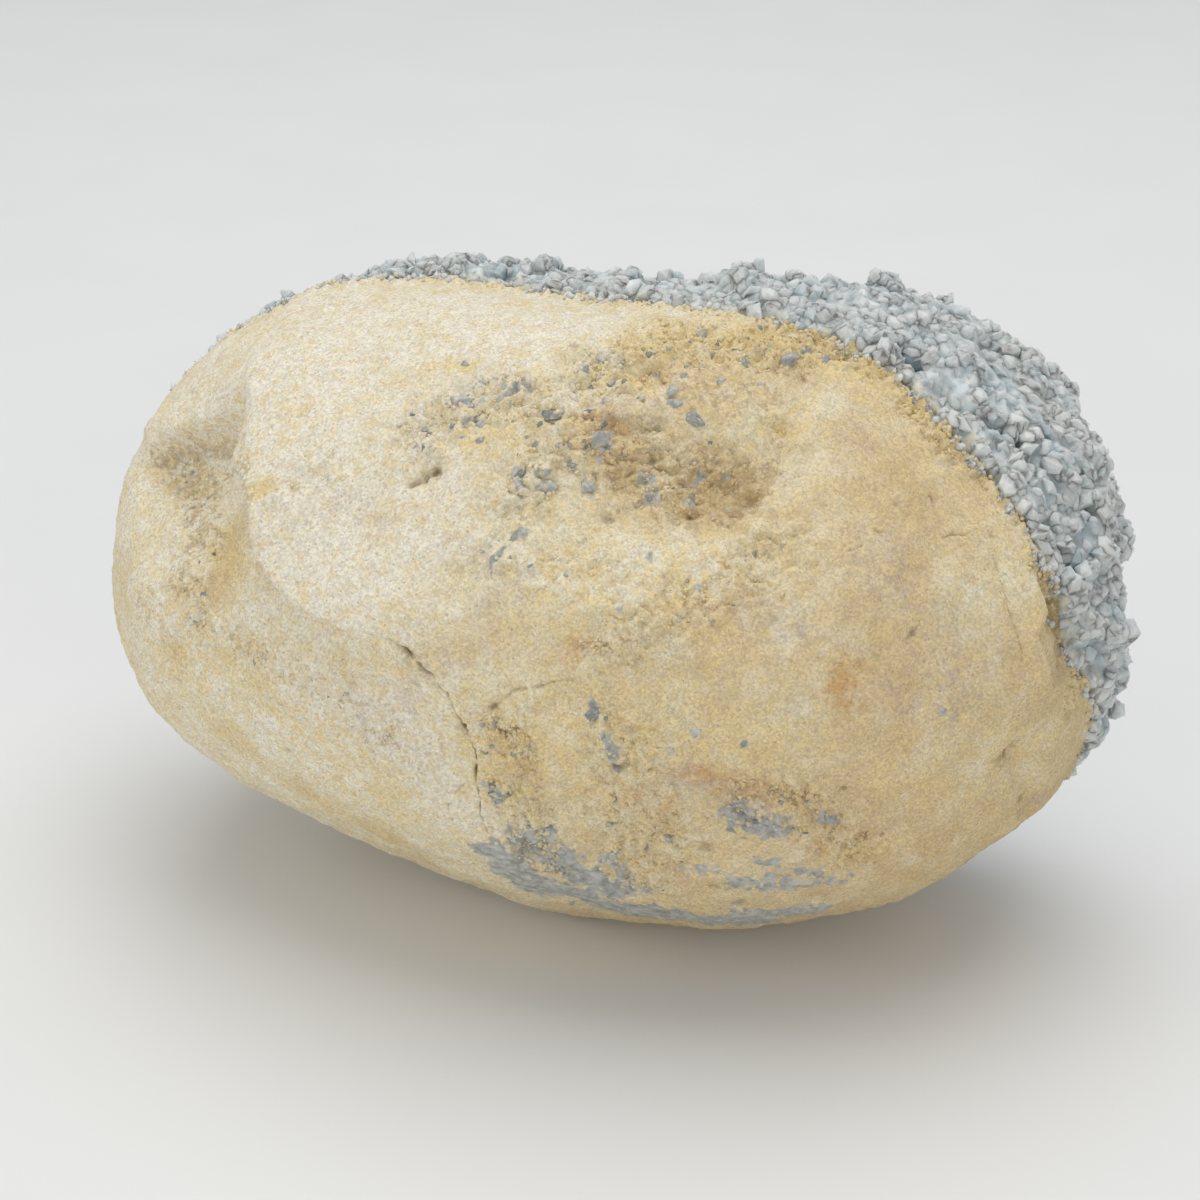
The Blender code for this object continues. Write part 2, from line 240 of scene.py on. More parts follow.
HAIR_CRACKS = (((845, 552), (855, 548), (866, 542), (868, 538)), ((872, 530), (880, 532), (889, 530)),
               ((914, 634), (919, 626), (920, 616)), ((781, 791), (793, 797), (806, 797)),
               ((942, 538), (968, 533), (980, 528)), ((1000, 586), (1004, 600), (1006, 614)),
               ((575, 668), (584, 650), (600, 644)), ((808, 655), (830, 662), (846, 664)))


skin_tree = tree_of(stone)


def on_stone(pixels):
    """The places of the skin that show at these pixels."""
    return np.array([seen_at(skin_tree, x, y) for x, y in pixels])


def distance_to_line(points, normals, line):
    """Distance of points to a line on the stone, their side of it, and their share of its length.

    The side is positive on the left of someone who walks along the line on the stone.
    """
    if len(line) == 1:
        away = np.linalg.norm(points - line[0], axis=1)
        return away, np.zeros(len(points)), np.zeros(len(points))
    steps = np.linalg.norm(np.diff(line, axis=0), axis=1)
    starts = np.concatenate([[0], np.cumsum(steps)])
    best = np.full(len(points), 1e9)
    side = np.zeros(len(points))
    share = np.zeros(len(points))
    for k, (start, end) in enumerate(zip(line, line[1:])):
        along = (end - start) / steps[k]
        t = np.clip((points - start) @ along, 0, steps[k])
        off = points - start - t[:, None] * along
        away = np.linalg.norm(off, axis=1)
        nearer = away < best
        best[nearer] = away[nearer]
        side[nearer] = np.einsum("ij,ij->i", off[nearer], np.cross(normals[nearer], along))
        share[nearer] = (starts[k] + t[nearer]) / starts[-1]
    return best, side, share


def points_of(piece):
    """A piece's points and their normals as arrays."""
    count = len(piece.data.vertices)
    points = np.empty(count * 3)
    normals = np.empty(count * 3, np.float32)
    piece.data.vertices.foreach_get("co", points)
    piece.data.vertex_normals.foreach_get("vector", normals)
    return points.reshape(-1, 3), normals.reshape(-1, 3).astype(float)


# %% Divide the faces along the sharp marks
SHARP_MARKS = (MAIN_CRACK, CRACK_BRANCH, RIGHT_BRANCH, SHORT_CRACK, SLIT, LEFT_LIP, END_LIP, END_CRACK,
               FLAKE_EDGE) + HAIR_CRACKS
for reach in (2.2 * MM, 1.3 * MM):
    points, normals = points_of(stone)
    near = np.zeros(len(points), bool)
    for mark in SHARP_MARKS:
        near |= distance_to_line(points, normals, on_stone(mark))[0] < reach
    picked(stone, "VERT", near)
    bpy.ops.mesh.subdivide(number_cuts=1, smoothness=0)
    bpy.ops.object.mode_set(mode="OBJECT")
print("skin with the marks divided:", triangles(stone), "triangles")

# %% [markdown]
# ## Brushes
# The skin changes from place to place: crumbly or smooth, dusty cream on the left, ochre and tan to
# the right, yellow crumbs along the crystals, rust, violet tints and ground celestite. Part of the
# change from cream to tan is painted light: the skin is painted paler on top and darker towards the
# bottom and the right, and some of the brown is painted shade. Each of these is a mask on the skin's
# points, painted with soft strokes at pixels of the photograph. The material later breaks up their
# edges, so none of them ends in a clean line.

# %% The brush
def bell(distance, reach):
    """1 in the middle, 0 at the reach and beyond, level at both ends."""
    share = np.clip(distance / reach, 0, 1)
    return (1 - share * share) ** 2


def brush(mask, pixels, reach, strength=1.0):
    """One stroke along pixels of the photograph. reach is in pixels too."""
    line = on_stone(pixels)
    reach = reach * PIXEL
    near = np.all((points > line.min(0) - reach) & (points < line.max(0) + reach), axis=1)
    layer = strength * bell(distance_to_line(points[near], normals[near], line)[0], reach)
    old = masks.setdefault(mask, np.zeros(len(points)))
    old[near] = np.maximum(old[near], layer) if strength > 0 else np.clip(old[near] + layer, 0, 1)


# %% [markdown]
# Crumbly skin needs smaller faces than smooth skin. So its mask is painted first, the faces in it and
# along the broken edge are divided once more, and then it is painted again on the new points.

# %% Where the skin is crumbly
CRUMBLY = (
    (((430, 425), (480, 395), (540, 400)), 60, 0.9), (((600, 370), (680, 345), (780, 350)), 75, 1.0),
    (((560, 430), (520, 500)), 60, 0.8), (((600, 440), (650, 470), (720, 480)), 80, 0.9),
    (((800, 340), (870, 365)), 40, 0.9), (((900, 400), (950, 455), (1030, 520)), 26, 0.9),
    (((510, 740), (520, 800), (540, 860)), 60, 0.9), (((620, 740), (650, 800), (640, 870)), 90, 0.8),
    (((740, 800), (800, 810), (850, 850)), 70, 0.8), (((180, 470), (210, 540), (200, 620)), 60, 0.7),
    (((250, 650), (330, 690), (420, 760)), 75, 0.6), (((1060, 620), (1070, 700)), 40, 0.8),
    (((620, 640), (700, 600), (760, 560)), 80, 0.7), (((480, 560), (600, 570)), 50, 0.6),
    (((270, 500), (330, 475)), 26, 0.6), (((780, 420), (760, 500)), 40, 0.6),
)
DIVIDE_OVER = 0.55
for turn in ("divide", "paint"):
    points, normals = points_of(stone)
    to_crust = np.array([crust_tree.find_nearest(Vector(p), 6 * MM)[3] or 6 * MM for p in points])
    masks = {}
    for pixels, reach, strength in CRUMBLY:
        brush("crumbly", pixels, reach, strength)
    if turn == "divide":
        edge_strip = (to_crust < 4 * MM) & (to_crust > 1.0 * MM)
        picked(stone, "VERT", (masks["crumbly"] > DIVIDE_OVER) | edge_strip)
        bpy.ops.mesh.subdivide(number_cuts=1, smoothness=0)
        bpy.ops.object.mode_set(mode="OBJECT")
print("skin with the crumbly parts divided:", triangles(stone), "triangles")

# %% [markdown]
# ## Shaping the skin
# Sculpting by hand would be done with a crease brush and a clay brush. Here the same strokes are
# worked out as heights over the skin and moved along its normals, so they can be read and changed.

# %% Heights of the marks
height = np.zeros(len(points))


def groove(pixels, width, depth, ragged=0.9):
    """A wavy crack of uneven width, deepest in the middle, narrow at both ends."""
    line = on_stone(pixels)
    near = np.flatnonzero(distance_to_line(points, normals, line)[0] < width + 1.5 * MM)
    wavy = np.array([noise.noise_vector(Vector(points[i]) / (2.4 * MM)) for i in near]) * 0.6 * MM
    away, _, share = distance_to_line(points[near] + wavy, normals[near], line)
    uneven = np.array([noise.noise(Vector(points[i]) / (1.4 * MM)) for i in near])
    ends = np.clip(np.minimum(share, 1 - share) * 7, 0.25, 1)
    cut = np.zeros(len(points))
    cut[near] = bell(away, width * np.maximum(0.8 + ragged * uneven, 0.25) * (0.4 + 0.6 * ends)) * ends
    return -depth * cut, cut


def step(pixels, up, down, reach, edge=0.5 * MM, overshoot=0.0):
    """A ledge: the left side of the line is raised, the right side is sunk."""
    away, side, share = distance_to_line(points, normals, on_stone(pixels))
    ends = np.clip(np.minimum(share, 1 - share) * 5, 0, 1)
    raised = 1 / (1 + np.exp(-np.clip(side / edge, -30, 30)))
    fade = np.exp(-away / reach)
    roll = overshoot * bell(np.abs(side - 1.6 * MM), 1.6 * MM) * (away < 6 * MM)
    return (up * raised * fade - down * (1 - raised) * fade + roll) * ends * (away < 5 * reach)


height += step(LEFT_LIP, 1.4 * MM, 4.6 * MM, 6.0 * MM, edge=0.32 * MM, overshoot=0.6 * MM)
height += step(BROW, 0.8 * MM, 4.0 * MM, 7 * MM, edge=0.7 * MM, overshoot=0.5 * MM)
height += step(MAIN_CRACK[2:], 0.7 * MM, 0.6 * MM, 3.0 * MM, edge=0.25 * MM)
height += step(END_LIP[::-1], 1.3 * MM, 2.8 * MM, 3.5 * MM, edge=0.35 * MM, overshoot=0.5 * MM)
height += step(DENT_WALL, 0.5 * MM, 1.9 * MM, 6 * MM, edge=0.8 * MM, overshoot=0.3 * MM)
height += step(DENT_SHELF, 0.5 * MM, 1.4 * MM, 2.5 * MM, edge=0.3 * MM)
height += step(FLAKE_EDGE, 0.3 * MM, 0.15 * MM, 2.5 * MM, edge=0.25 * MM)
height += step(LOW_LEDGE, 0.5 * MM, 0.5 * MM, 3.0 * MM, edge=0.5 * MM)

# Painted shade: cracks, the slit and pits get a near-black colour for the shade that falls into grooves too narrow for
# the faces to show.
recess_shade = np.zeros(len(points))
for pixels, width, depth, shade_strength in (
        (MAIN_CRACK, 0.62 * MM, 1.1 * MM, 0.8), (CRACK_BRANCH, 0.4 * MM, 0.4 * MM, 0.35),
        (RIGHT_BRANCH, 0.5 * MM, 0.45 * MM, 0.35), (SHORT_CRACK, 0.45 * MM, 0.3 * MM, 0.3),
        (SLIT, 1.0 * MM, 0.7 * MM, 0.4), (END_CRACK, 0.45 * MM, 0.35 * MM, 0.3),
        *[(pixels, 0.45 * MM, 0.3 * MM, 0.35) for pixels in HAIR_CRACKS]):
    drop, cut = groove(pixels, width, depth)
    height += drop
    recess_shade = np.maximum(recess_shade, shade_strength * cut)

# %% Dents and swellings of the skin
SOFT_FORMS = (  # pixels of the stroke, reach in pixels, height in mm
    (((165, 478), (200, 463), (232, 448)), 46, -1.8), (((205, 505), (230, 480)), 60, -1.6),
    (((150, 430), (190, 415), (235, 392)), 24, 0.9), (((140, 590), (190, 600), (250, 612)), 45, 1.2),
    (((215, 540),), 36, -0.8), (((262, 492), (300, 484), (330, 468), (365, 448)), 14, -0.55),
    (((270, 510), (320, 525)), 40, 0.5), (((165, 640), (200, 660)), 34, -0.6), (((280, 690), (300, 730)), 30, -0.4),
    (((640, 470), (720, 480)), 70, -1.0), (((610, 560), (690, 568), (750, 535)), 26, 0.8),
    (((700, 470), (745, 490)), 30, -0.7), (((600, 350), (660, 380)), 30, -0.5), (((740, 395), (780, 380)), 20, 0.4),
    (((630, 405), (650, 412)), 14, 0.5), (((590, 418), (660, 424)), 7, -0.7), (((420, 470),), 24, -0.5),
    (((1056, 612), (1062, 652)), 20, -1.6), (((1076, 600), (1084, 670)), 14, 0.8), (((820, 400), (800, 450)), 14, 0.5),
    (((760, 470), (800, 430), (815, 390)), 9, -0.5), (((700, 620), (780, 640)), 30, -0.4),
    (((850, 800), (950, 790)), 30, -0.5), (((560, 700), (640, 690)), 30, -0.5), (((520, 770), (540, 850)), 30, -0.5),
    (((1015, 750), (1030, 810)), 16, -0.9), (((330, 650), (380, 690)), 30, 0.5), (((640, 875), (680, 885)), 18, 0.4),
)
for pixels, reach, rise in SOFT_FORMS:
    away = distance_to_line(points, normals, on_stone(pixels))[0]
    height += rise * MM * bell(away, reach * PIXEL)

# %% Pits and small hollows
# The last number of each pit is the strength of its painted shade.
PITS = (  # pixel, radius in pixels, depth in mm, darkness
    (433, 470, 7, 1.2, 0.9), (424, 476, 6, 0.7, 0.7), (411, 483, 6, 0.5, 0.4),
    (408, 655, 7, 1.2, 0.8), (462, 729, 7, 1.2, 0.9), (691, 515, 5, 1.2, 0.95), (1008, 753, 9, 1.6, 0.9),
    (655, 457, 9, 0.8, 0.8), (609, 518, 10, 0.7, 0.75), (656, 374, 8, 0.7, 0.8), (521, 852, 13, 1.0, 0.75),
    (561, 875, 9, 0.9, 0.8), (865, 838, 6, 0.8, 0.8), (850, 846, 5, 0.7, 0.8), (914, 633, 5, 0.8, 0.8),
    (1056, 679, 12, 2.0, 0.9), (737, 906, 12, 0.8, 0.75), (715, 889, 8, 0.7, 0.75), (844, 792, 5, 0.7, 0.9),
    (704, 849, 10, 0.6, 0.7), (287, 751, 6, 0.4, 0.7), (493, 708, 5, 0.6, 0.8), (743, 838, 5, 0.5, 0.9),
    (805, 380, 5, 0.5, 0.7), (933, 498, 5, 0.5, 0.8), (896, 504, 4, 0.4, 0.7), (991, 537, 4, 0.5, 0.7),
    (645, 480, 8, 0.5, 0.6), (617, 768, 9, 0.7, 0.8), (672, 396, 7, 0.6, 0.6), (575, 345, 7, 0.5, 0.7),
)
for x, y, radius, depth, shade_strength in PITS:
    away = distance_to_line(points, normals, on_stone(((x, y),)))[0]
    near = np.flatnonzero(away < 3 * radius * PIXEL)
    uneven = np.array([noise.noise(Vector(points[i]) / (0.9 * MM)) for i in near])
    uneven = 1 + 0.9 * uneven
    height[near] -= 0.8 * depth * MM * bell(away[near], 1.6 * radius * PIXEL * uneven)
    recess_shade[near] = np.maximum(recess_shade[near], 0.62 * shade_strength * bell(away[near], 1.3 * radius * PIXEL * uneven))
masks["recess_shade"] = recess_shade

# %% Unevenness and clods
def noise_at(spacing, offset=0.0):
    shift = Vector((offset, offset * 0.7, -offset))
    return np.array([noise.noise(Vector(p) / spacing + shift) for p in points])


def clods_at(spacing, offset):
    """Rounded clods with creases between them, about 0 on average."""
    return np.abs(noise_at(spacing, offset)) * 2.4 - 0.5


crumble = masks["crumbly"]
height += 0.50 * MM * noise_at(7 * MM, 3.1)
height += (0.20 + 0.50 * crumble) * MM * noise_at(3.3 * MM, 7.7)
height += (0.16 + 1.0 * crumble) * MM * clods_at(2.6 * MM, 12.0)
height += (0.08 + 0.5 * crumble) * MM * clods_at(1.3 * MM, 1.3)
height -= (0.10 + 0.6 * crumble) * MM * np.clip(noise_at(2.4 * MM, 21.0) - 0.32, 0, 1) * 2

brink = bell(to_crust - 1.5 * MM, 3.2 * MM)
height += brink * (0.45 + 0.6 * clods_at(2.0 * MM, 40.0) + 0.5 * noise_at(1.1 * MM, 44.0)) * MM
on_skin = np.array([(crust_tree.find_nearest(Vector(p), 1.2 * MM)[0]) is None for p in points])
height *= on_skin
moved = points + normals * height[:, None]
moved[:, 2] = np.maximum(moved[:, 2], 0)
resting = points[:, 2] < 0.05 * MM
moved[resting] = points[resting]
stone.data.vertices.foreach_set("co", moved.ravel())
stone.data.update()
print("skin moved by %.2f to %.2f mm" % (height.min() / MM, height.max() / MM))

# %% [markdown]
# ## Painting the masks
# The strokes follow the photograph from left to right. Numbers are the pixels of a stroke, its reach
# in pixels, and its strength.

# %% Warm and pale sands, with painted light: paler on top, darker lower down
def paint(mask, strokes):
    for pixels, reach, strength in strokes:
        brush(mask, pixels, reach, strength)


# Painted light and tone: the skin gets darker and warmer towards the bottom and to the right, partly its own tone and
# partly painted shade.
low = np.clip((50 * MM - points[:, 2]) / (60 * MM), 0, 1)
rightward = np.clip((points[:, 0] + 25 * MM) / (85 * MM), 0, 1)
masks["warm_and_painted_light"] = np.clip(0.2 + 0.55 * rightward + 0.22 * low, 0, 1)
paint("warm_and_painted_light", (
    (((230, 540), (220, 580)), 60, 0.75), (((180, 480),), 50, 0.45), (((265, 490),), 30, 0.6),
    (((720, 500),), 90, 1.0), (((640, 470), (600, 430)), 70, 0.7), (((880, 640),), 170, 0.85),
    (((500, 760), (620, 780), (760, 790)), 110, 0.6), (((560, 640),), 60, 0.6),
    (((170, 660), (260, 760), (400, 840)), 60, 0.55), (((900, 760), (1000, 780)), 70, 0.7),
    (((1060, 640), (1065, 720)), 45, 0.9)))
# Paler strokes: a cream bloom on top that is partly painted light, and a painted highlight on the ridge under the
# middle dent.
paint("warm_and_painted_light", (
    (((300, 350), (450, 320), (560, 330)), 90, -0.35), (((300, 450), (400, 560)), 110, -0.22),
    (((280, 690), (380, 730), (440, 780)), 60, -0.15), (((960, 600), (1010, 560)), 50, -0.2),
    (((640, 565), (720, 560)), 45, -0.35), (((820, 400), (860, 380)), 40, -0.2)))

# %% Yellow crumbs, rust, violet, and brown that is partly painted shade
paint("yellow", (
    (((640, 345), (720, 335), (800, 345), (880, 372)), 55, 0.8), (((880, 372), (930, 425), (985, 475),
     (1040, 525)), 22, 1.0), (((430, 366), (470, 364)), 14, 1.0), (((540, 285), (580, 282)), 10, 0.9),
    (((600, 372), (640, 380)), 22, 0.8), (((470, 440), (530, 430)), 28, 0.5), (((265, 490),), 20, 0.7),
    (((240, 400), (246, 425)), 14, 0.8), (((215, 535),), 34, 0.6), (((560, 610), (680, 600)), 35, 0.5),
    (((1045, 560), (1066, 600), (1085, 640), (1095, 690)), 14, 0.8),
    (((180, 620), (260, 690), (380, 790)), 70, 0.42), (((200, 540), (240, 570)), 30, 0.5),
    (((560, 560), (640, 585), (720, 560)), 36, 0.5), (((760, 440), (800, 420)), 30, 0.5),
    (((500, 760), (600, 730), (760, 750)), 85, 0.5), (((930, 740), (1040, 740)), 40, 0.4), (((700, 620), (740, 640)), 40, 0.4), (((375, 648),), 14, 0.5),
    (((880, 770), (960, 790)), 40, 0.5), (((300, 430), (290, 400)), 30, 0.35), (((440, 292), (500, 286)), 12, 0.6),
    (((620, 745), (680, 760)), 50, 0.5), (((860, 850), (900, 840)), 24, 0.6)))
paint("rust", (
    (((846, 676), (838, 690)), 24, 0.95), (((846, 664), (860, 672)), 16, 0.6), (((850, 706),), 18, 0.45),
    (((232, 425),), 8, 0.9), (((244, 404),), 10, 0.6), (((442, 750),), 8, 0.7), (((600, 790), (660, 800)), 26, 0.25),
    (((700, 775), (760, 790)), 22, 0.5), (((570, 655), (580, 640)), 16, 0.55), (((820, 850), (800, 842)), 14, 0.45),
    (((974, 583),), 7, 0.6), (((1008, 748),), 14, 0.7), (((665, 372),), 8, 0.5), (((640, 800),), 14, 0.3),
    (((590, 418), (630, 422)), 12, 0.5)))
paint("violet", (
    (((684, 776), (720, 788), (765, 800)), 26, 0.9), (((880, 560), (900, 590)), 50, 0.55),
    (((940, 640), (960, 700)), 45, 0.5), (((610, 405), (650, 410)), 26, 0.6), (((740, 620), (790, 630)), 40, 0.45),
    (((400, 700), (440, 660)), 26, 0.5), (((500, 600), (480, 640)), 40, 0.35), (((1039, 801), (1050, 790)), 14, 0.8),
    (((350, 690), (380, 740)), 26, 0.4), (((850, 430),), 40, 0.4), (((900, 700),), 40, 0.4),
    (((330, 500), (380, 520)), 30, 0.3)))
paint("olive", ((((1056, 606), (1063, 650)), 17, 1.0), (((1024, 800),), 11, 0.7), (((432, 522),), 7, 0.5)))
# The brown is partly a stain and partly painted shade: under the brow, along the left lip, below the shelf, in the
# dents and in the pocket under the end lip.
paint("brown_and_shade", (
    (((150, 458), (180, 447), (232, 440)), 15, 0.9), (((165, 475), (190, 480)), 30, 0.6),
    (((205, 470), (185, 510)), 24, 0.5), (((246, 440), (256, 500), (258, 545)), 10, 0.5), (((700, 470), (740, 500)), 34, 0.7),
    (((660, 500), (690, 515)), 26, 0.5), (((770, 465), (745, 500)), 14, 0.7), (((1050, 610), (1058, 650)), 16, 0.9),
    (((1060, 668),), 14, 0.6), (((640, 420), (655, 424)), 12, 0.6), (((190, 540), (180, 580)), 26, 0.45),
    (((545, 860), (590, 872)), 20, 0.5), (((680, 390), (760, 400)), 30, 0.45), (((235, 640), (260, 650)), 22, 0.35),
    (((520, 790), (600, 810)), 40, 0.12), (((1000, 760), (1015, 745)), 16, 0.6), (((620, 470),), 36, 0.5),
    (((1020, 815),), 12, 0.6), (((150, 600), (170, 640)), 24, 0.3)))

# %% Ground celestite in the skin
paint("grey", (
    (((505, 868), (560, 892), (620, 910), (700, 920), (760, 922)), 34, 1.0),
    (((500, 855), (530, 885), (580, 895)), 46, 1.0), (((540, 845), (570, 870), (610, 890)), 42, 1.0),
    (((600, 900), (660, 912), (740, 918)), 28, 1.0), (((740, 915), (820, 908)), 24, 1.0),
    (((690, 868), (770, 885), (830, 880)), 26, 0.62), (((610, 862), (640, 885)), 26, 0.8), (((520, 835), (545, 850)), 26, 0.85),
    (((730, 812), (750, 822), (780, 828)), 24, 0.95), (((820, 819), (836, 818)), 12, 0.9),
    (((695, 735),), 8, 0.9), (((743, 744),), 6, 0.8), (((670, 751),), 8, 0.6), (((605, 735), (612, 752), (617, 771)), 7, 0.95),
    (((493, 725), (505, 728)), 9, 0.8), (((512, 745), (520, 752)), 9, 0.8), (((490, 785), (500, 797)), 12, 0.85),
    (((520, 530), (505, 548), (493, 560), (491, 575)), 5, 1.0), (((516, 468), (520, 490)), 7, 0.8),
    (((645, 478), (655, 500)), 14, 0.6), (((700, 475), (690, 500)), 7, 0.8), (((604, 445), (598, 460)), 12, 0.8),
    (((641, 540), (650, 560)), 8, 0.4), (((505, 383), (530, 392), (470, 402)), 12, 0.6), (((470, 690), (482, 640)), 3, 0.2),
    (((942, 712),), 8, 0.7), (((590, 702), (600, 720)), 9, 0.6), (((760, 860), (840, 880)), 16, 0.7),
    (((580, 283), (640, 292), (720, 300)), 12, 0.7), (((650, 300), (700, 306)), 12, 0.8)))
paint("grey", ((((642, 868), (680, 890)), 20, -0.9), (((575, 872),), 10, -0.7), (((720, 895), (742, 892)), 9, -0.6)))

# %% Keep the masks on the skin, and keep faces only where they are needed
for name, values in masks.items():
    layer = stone.data.attributes.new(name, "FLOAT", "POINT")
    layer.data.foreach_set("value", np.clip(values, 0, 1))
SKIN_TRIANGLES = 188000
finished(stone, "DECIMATE", ratio=SKIN_TRIANGLES / triangles(stone))
print("masks on the skin:", ", ".join(masks), "- triangles:", triangles(stone))

# %% [markdown]
# ## Node helpers
# A material is a small tree of nodes. These helpers add one node at a time, set its sockets by name
# and link them, so that the recipes below read from top to bottom.

# %% Adding and linking nodes
def put(tree, kind, inputs=None, **settings):
    """Adds a node. inputs gives a value or another node's output for each socket."""
    node = tree.nodes.new(kind)
    for name, value in settings.items():
        setattr(node, name, value)
    for name, value in (inputs or {}).items():
        if isinstance(value, bpy.types.NodeSocket):
            tree.links.new(value, node.inputs[name])
        else:
            node.inputs[name].default_value = value
    return node


def maths(tree, operation, one, two=0.0, clamp=False):
    node = put(tree, "ShaderNodeMath", {0: one, 1: two}, operation=operation, use_clamp=clamp)
    return node.outputs[0]


def mixed(tree, share, one, two, how="MIX"):
    """Two colours mixed by a share."""
    node = put(tree, "ShaderNodeMix", {0: share, 6: one, 7: two}, data_type="RGBA", blend_type=how,
               clamp_factor=True)
    return node.outputs[2]


def ranged(tree, value, low, high, to_low=0.0, to_high=1.0):
    """A value's range stretched to another one, with soft ends."""
    node = put(tree, "ShaderNodeMapRange", {"Value": value, "From Min": low, "From Max": high,
                                            "To Min": to_low, "To Max": to_high},
               interpolation_type="SMOOTHSTEP")
    return node.outputs["Result"]


def clouds(tree, where, size, detail=3.0, rough=0.55):
    """Cloudy noise with blobs of a size in metres."""
    node = put(tree, "ShaderNodeTexNoise", {"Vector": where, "Scale": 1 / size, "Detail": detail,
                                            "Roughness": rough})
    return node.outputs["Fac"]


def grains(tree, where, size, feature="F1"):
    node = put(tree, "ShaderNodeTexVoronoi", {"Vector": where, "Scale": 1 / size}, feature=feature)
    return node


def colour(red, green, blue):
    return (red, green, blue, 1.0)


def new_group(name, takes, gives):
    """An empty node group with named inputs and outputs."""
    tree = bpy.data.node_groups.new(name, "ShaderNodeTree")
    for socket, kind in takes:
        tree.interface.new_socket(socket, in_out="INPUT", socket_type=kind)
    for socket, kind in gives:
        tree.interface.new_socket(socket, in_out="OUTPUT", socket_type=kind)
    return tree, tree.nodes.new("NodeGroupInput").outputs, tree.nodes.new("NodeGroupOutput")


def new_material(name):
    """A material with its Principled shader, and the place on the object."""
    made = bpy.data.materials.new(name)
    made.use_nodes = True
    tree = made.node_tree
    where = put(tree, "ShaderNodeTexCoord").outputs["Object"]
    return made, tree, tree.nodes["Principled BSDF"], where


# %% [markdown]
# ## Two effects that rock and crystal share
# **Sand grain** is the fine texture of the limestone, and the same sand lies as dust on the crystals:
# round grains of a third of a millimetre, each a little lighter or darker than the next.
# **Ragged patch** takes a soft painted mask and gives it a torn edge, as dust, stains and ground
# spots have.

# %% Sand grain
FLOAT, VECTOR = "NodeSocketFloat", "NodeSocketVector"
sand_grain, given, result = new_group("sand grain", (("Where", VECTOR), ("Size", FLOAT)),
                                      (("Shade", FLOAT), ("Height", FLOAT), ("Speck", FLOAT)))
scale = maths(sand_grain, "DIVIDE", 1.0, given["Size"])
fine = put(sand_grain, "ShaderNodeTexVoronoi", {"Vector": given["Where"], "Scale": scale})
each = put(sand_grain, "ShaderNodeSeparateColor", {"Color": fine.outputs["Color"]})
coarse_scale = maths(sand_grain, "MULTIPLY", scale, 0.6)
coarse = put(sand_grain, "ShaderNodeTexNoise", {"Vector": given["Where"], "Scale": coarse_scale,
                                                "Detail": 2.0, "Roughness": 0.8})
shade = maths(sand_grain, "ADD", maths(sand_grain, "MULTIPLY", each.outputs["Red"], 0.45),
              maths(sand_grain, "MULTIPLY", coarse.outputs["Fac"], 0.55))
round_top = maths(sand_grain, "SUBTRACT", 1.0, fine.outputs["Distance"])
lump = maths(sand_grain, "ADD", maths(sand_grain, "MULTIPLY", round_top, 0.6),
             maths(sand_grain, "MULTIPLY", coarse.outputs["Fac"], 0.5))
speck = ranged(sand_grain, each.outputs["Green"], 0.93, 0.98)
for socket, value in (("Shade", shade), ("Height", lump), ("Speck", speck)):
    sand_grain.links.new(value, result.inputs[socket])

# %% Ragged patch
ragged_patch, given, result = new_group(
    "ragged patch", (("Mask", FLOAT), ("Where", VECTOR), ("Size", FLOAT), ("Raggedness", FLOAT),
                     ("Softness", FLOAT)), (("Patch", FLOAT),))
scale = maths(ragged_patch, "DIVIDE", 1.0, given["Size"])
torn = put(ragged_patch, "ShaderNodeTexNoise", {"Vector": given["Where"], "Scale": scale, "Detail": 2.0,
                                                "Roughness": 0.65})
shift = maths(ragged_patch, "MULTIPLY", maths(ragged_patch, "SUBTRACT", torn.outputs["Fac"], 0.5),
              given["Raggedness"])
level = maths(ragged_patch, "SUBTRACT", maths(ragged_patch, "ADD", given["Mask"], shift), 0.5)
level = maths(ragged_patch, "DIVIDE", level, given["Softness"])
level = maths(ragged_patch, "ADD", level, 0.5, clamp=True)
some = ranged(ragged_patch, given["Mask"], 0.0, 0.15)
ragged_patch.links.new(maths(ragged_patch, "MULTIPLY", level, some), result.inputs["Patch"])


def patch(tree, mask, where, size, ragged, soft):
    node = put(tree, "ShaderNodeGroup", node_tree=ragged_patch)
    tree.links.new(mask, node.inputs["Mask"])
    tree.links.new(where, node.inputs["Where"])
    node.inputs["Size"].default_value = size
    node.inputs["Raggedness"].default_value = ragged
    node.inputs["Softness"].default_value = soft
    return node.outputs["Patch"]


def painted(tree, name):
    return put(tree, "ShaderNodeAttribute", attribute_name=name).outputs["Fac"]


# %% [markdown]
# ## Limestone
# Dusty sandstone-like rock: nothing shines, and the colour lives in many small grains. The recipe
# lays the warm sand, with its painted light, over the cream, then each painted stain over that, the
# brown one partly painted shade, and the painted shade of the cracks and pits last.

# %% The limestone material
limestone, tree, shader, where = new_material("sandy limestone")
grain = put(tree, "ShaderNodeGroup", {}, node_tree=sand_grain)
tree.links.new(where, grain.inputs["Where"])
grain.inputs["Size"].default_value = 0.34 * MM
broad = clouds(tree, where, 17 * MM, 2.0)
middle = clouds(tree, where, 4.2 * MM, 2.0, 0.6)
small = clouds(tree, where, 1.3 * MM, 2.0, 0.6)

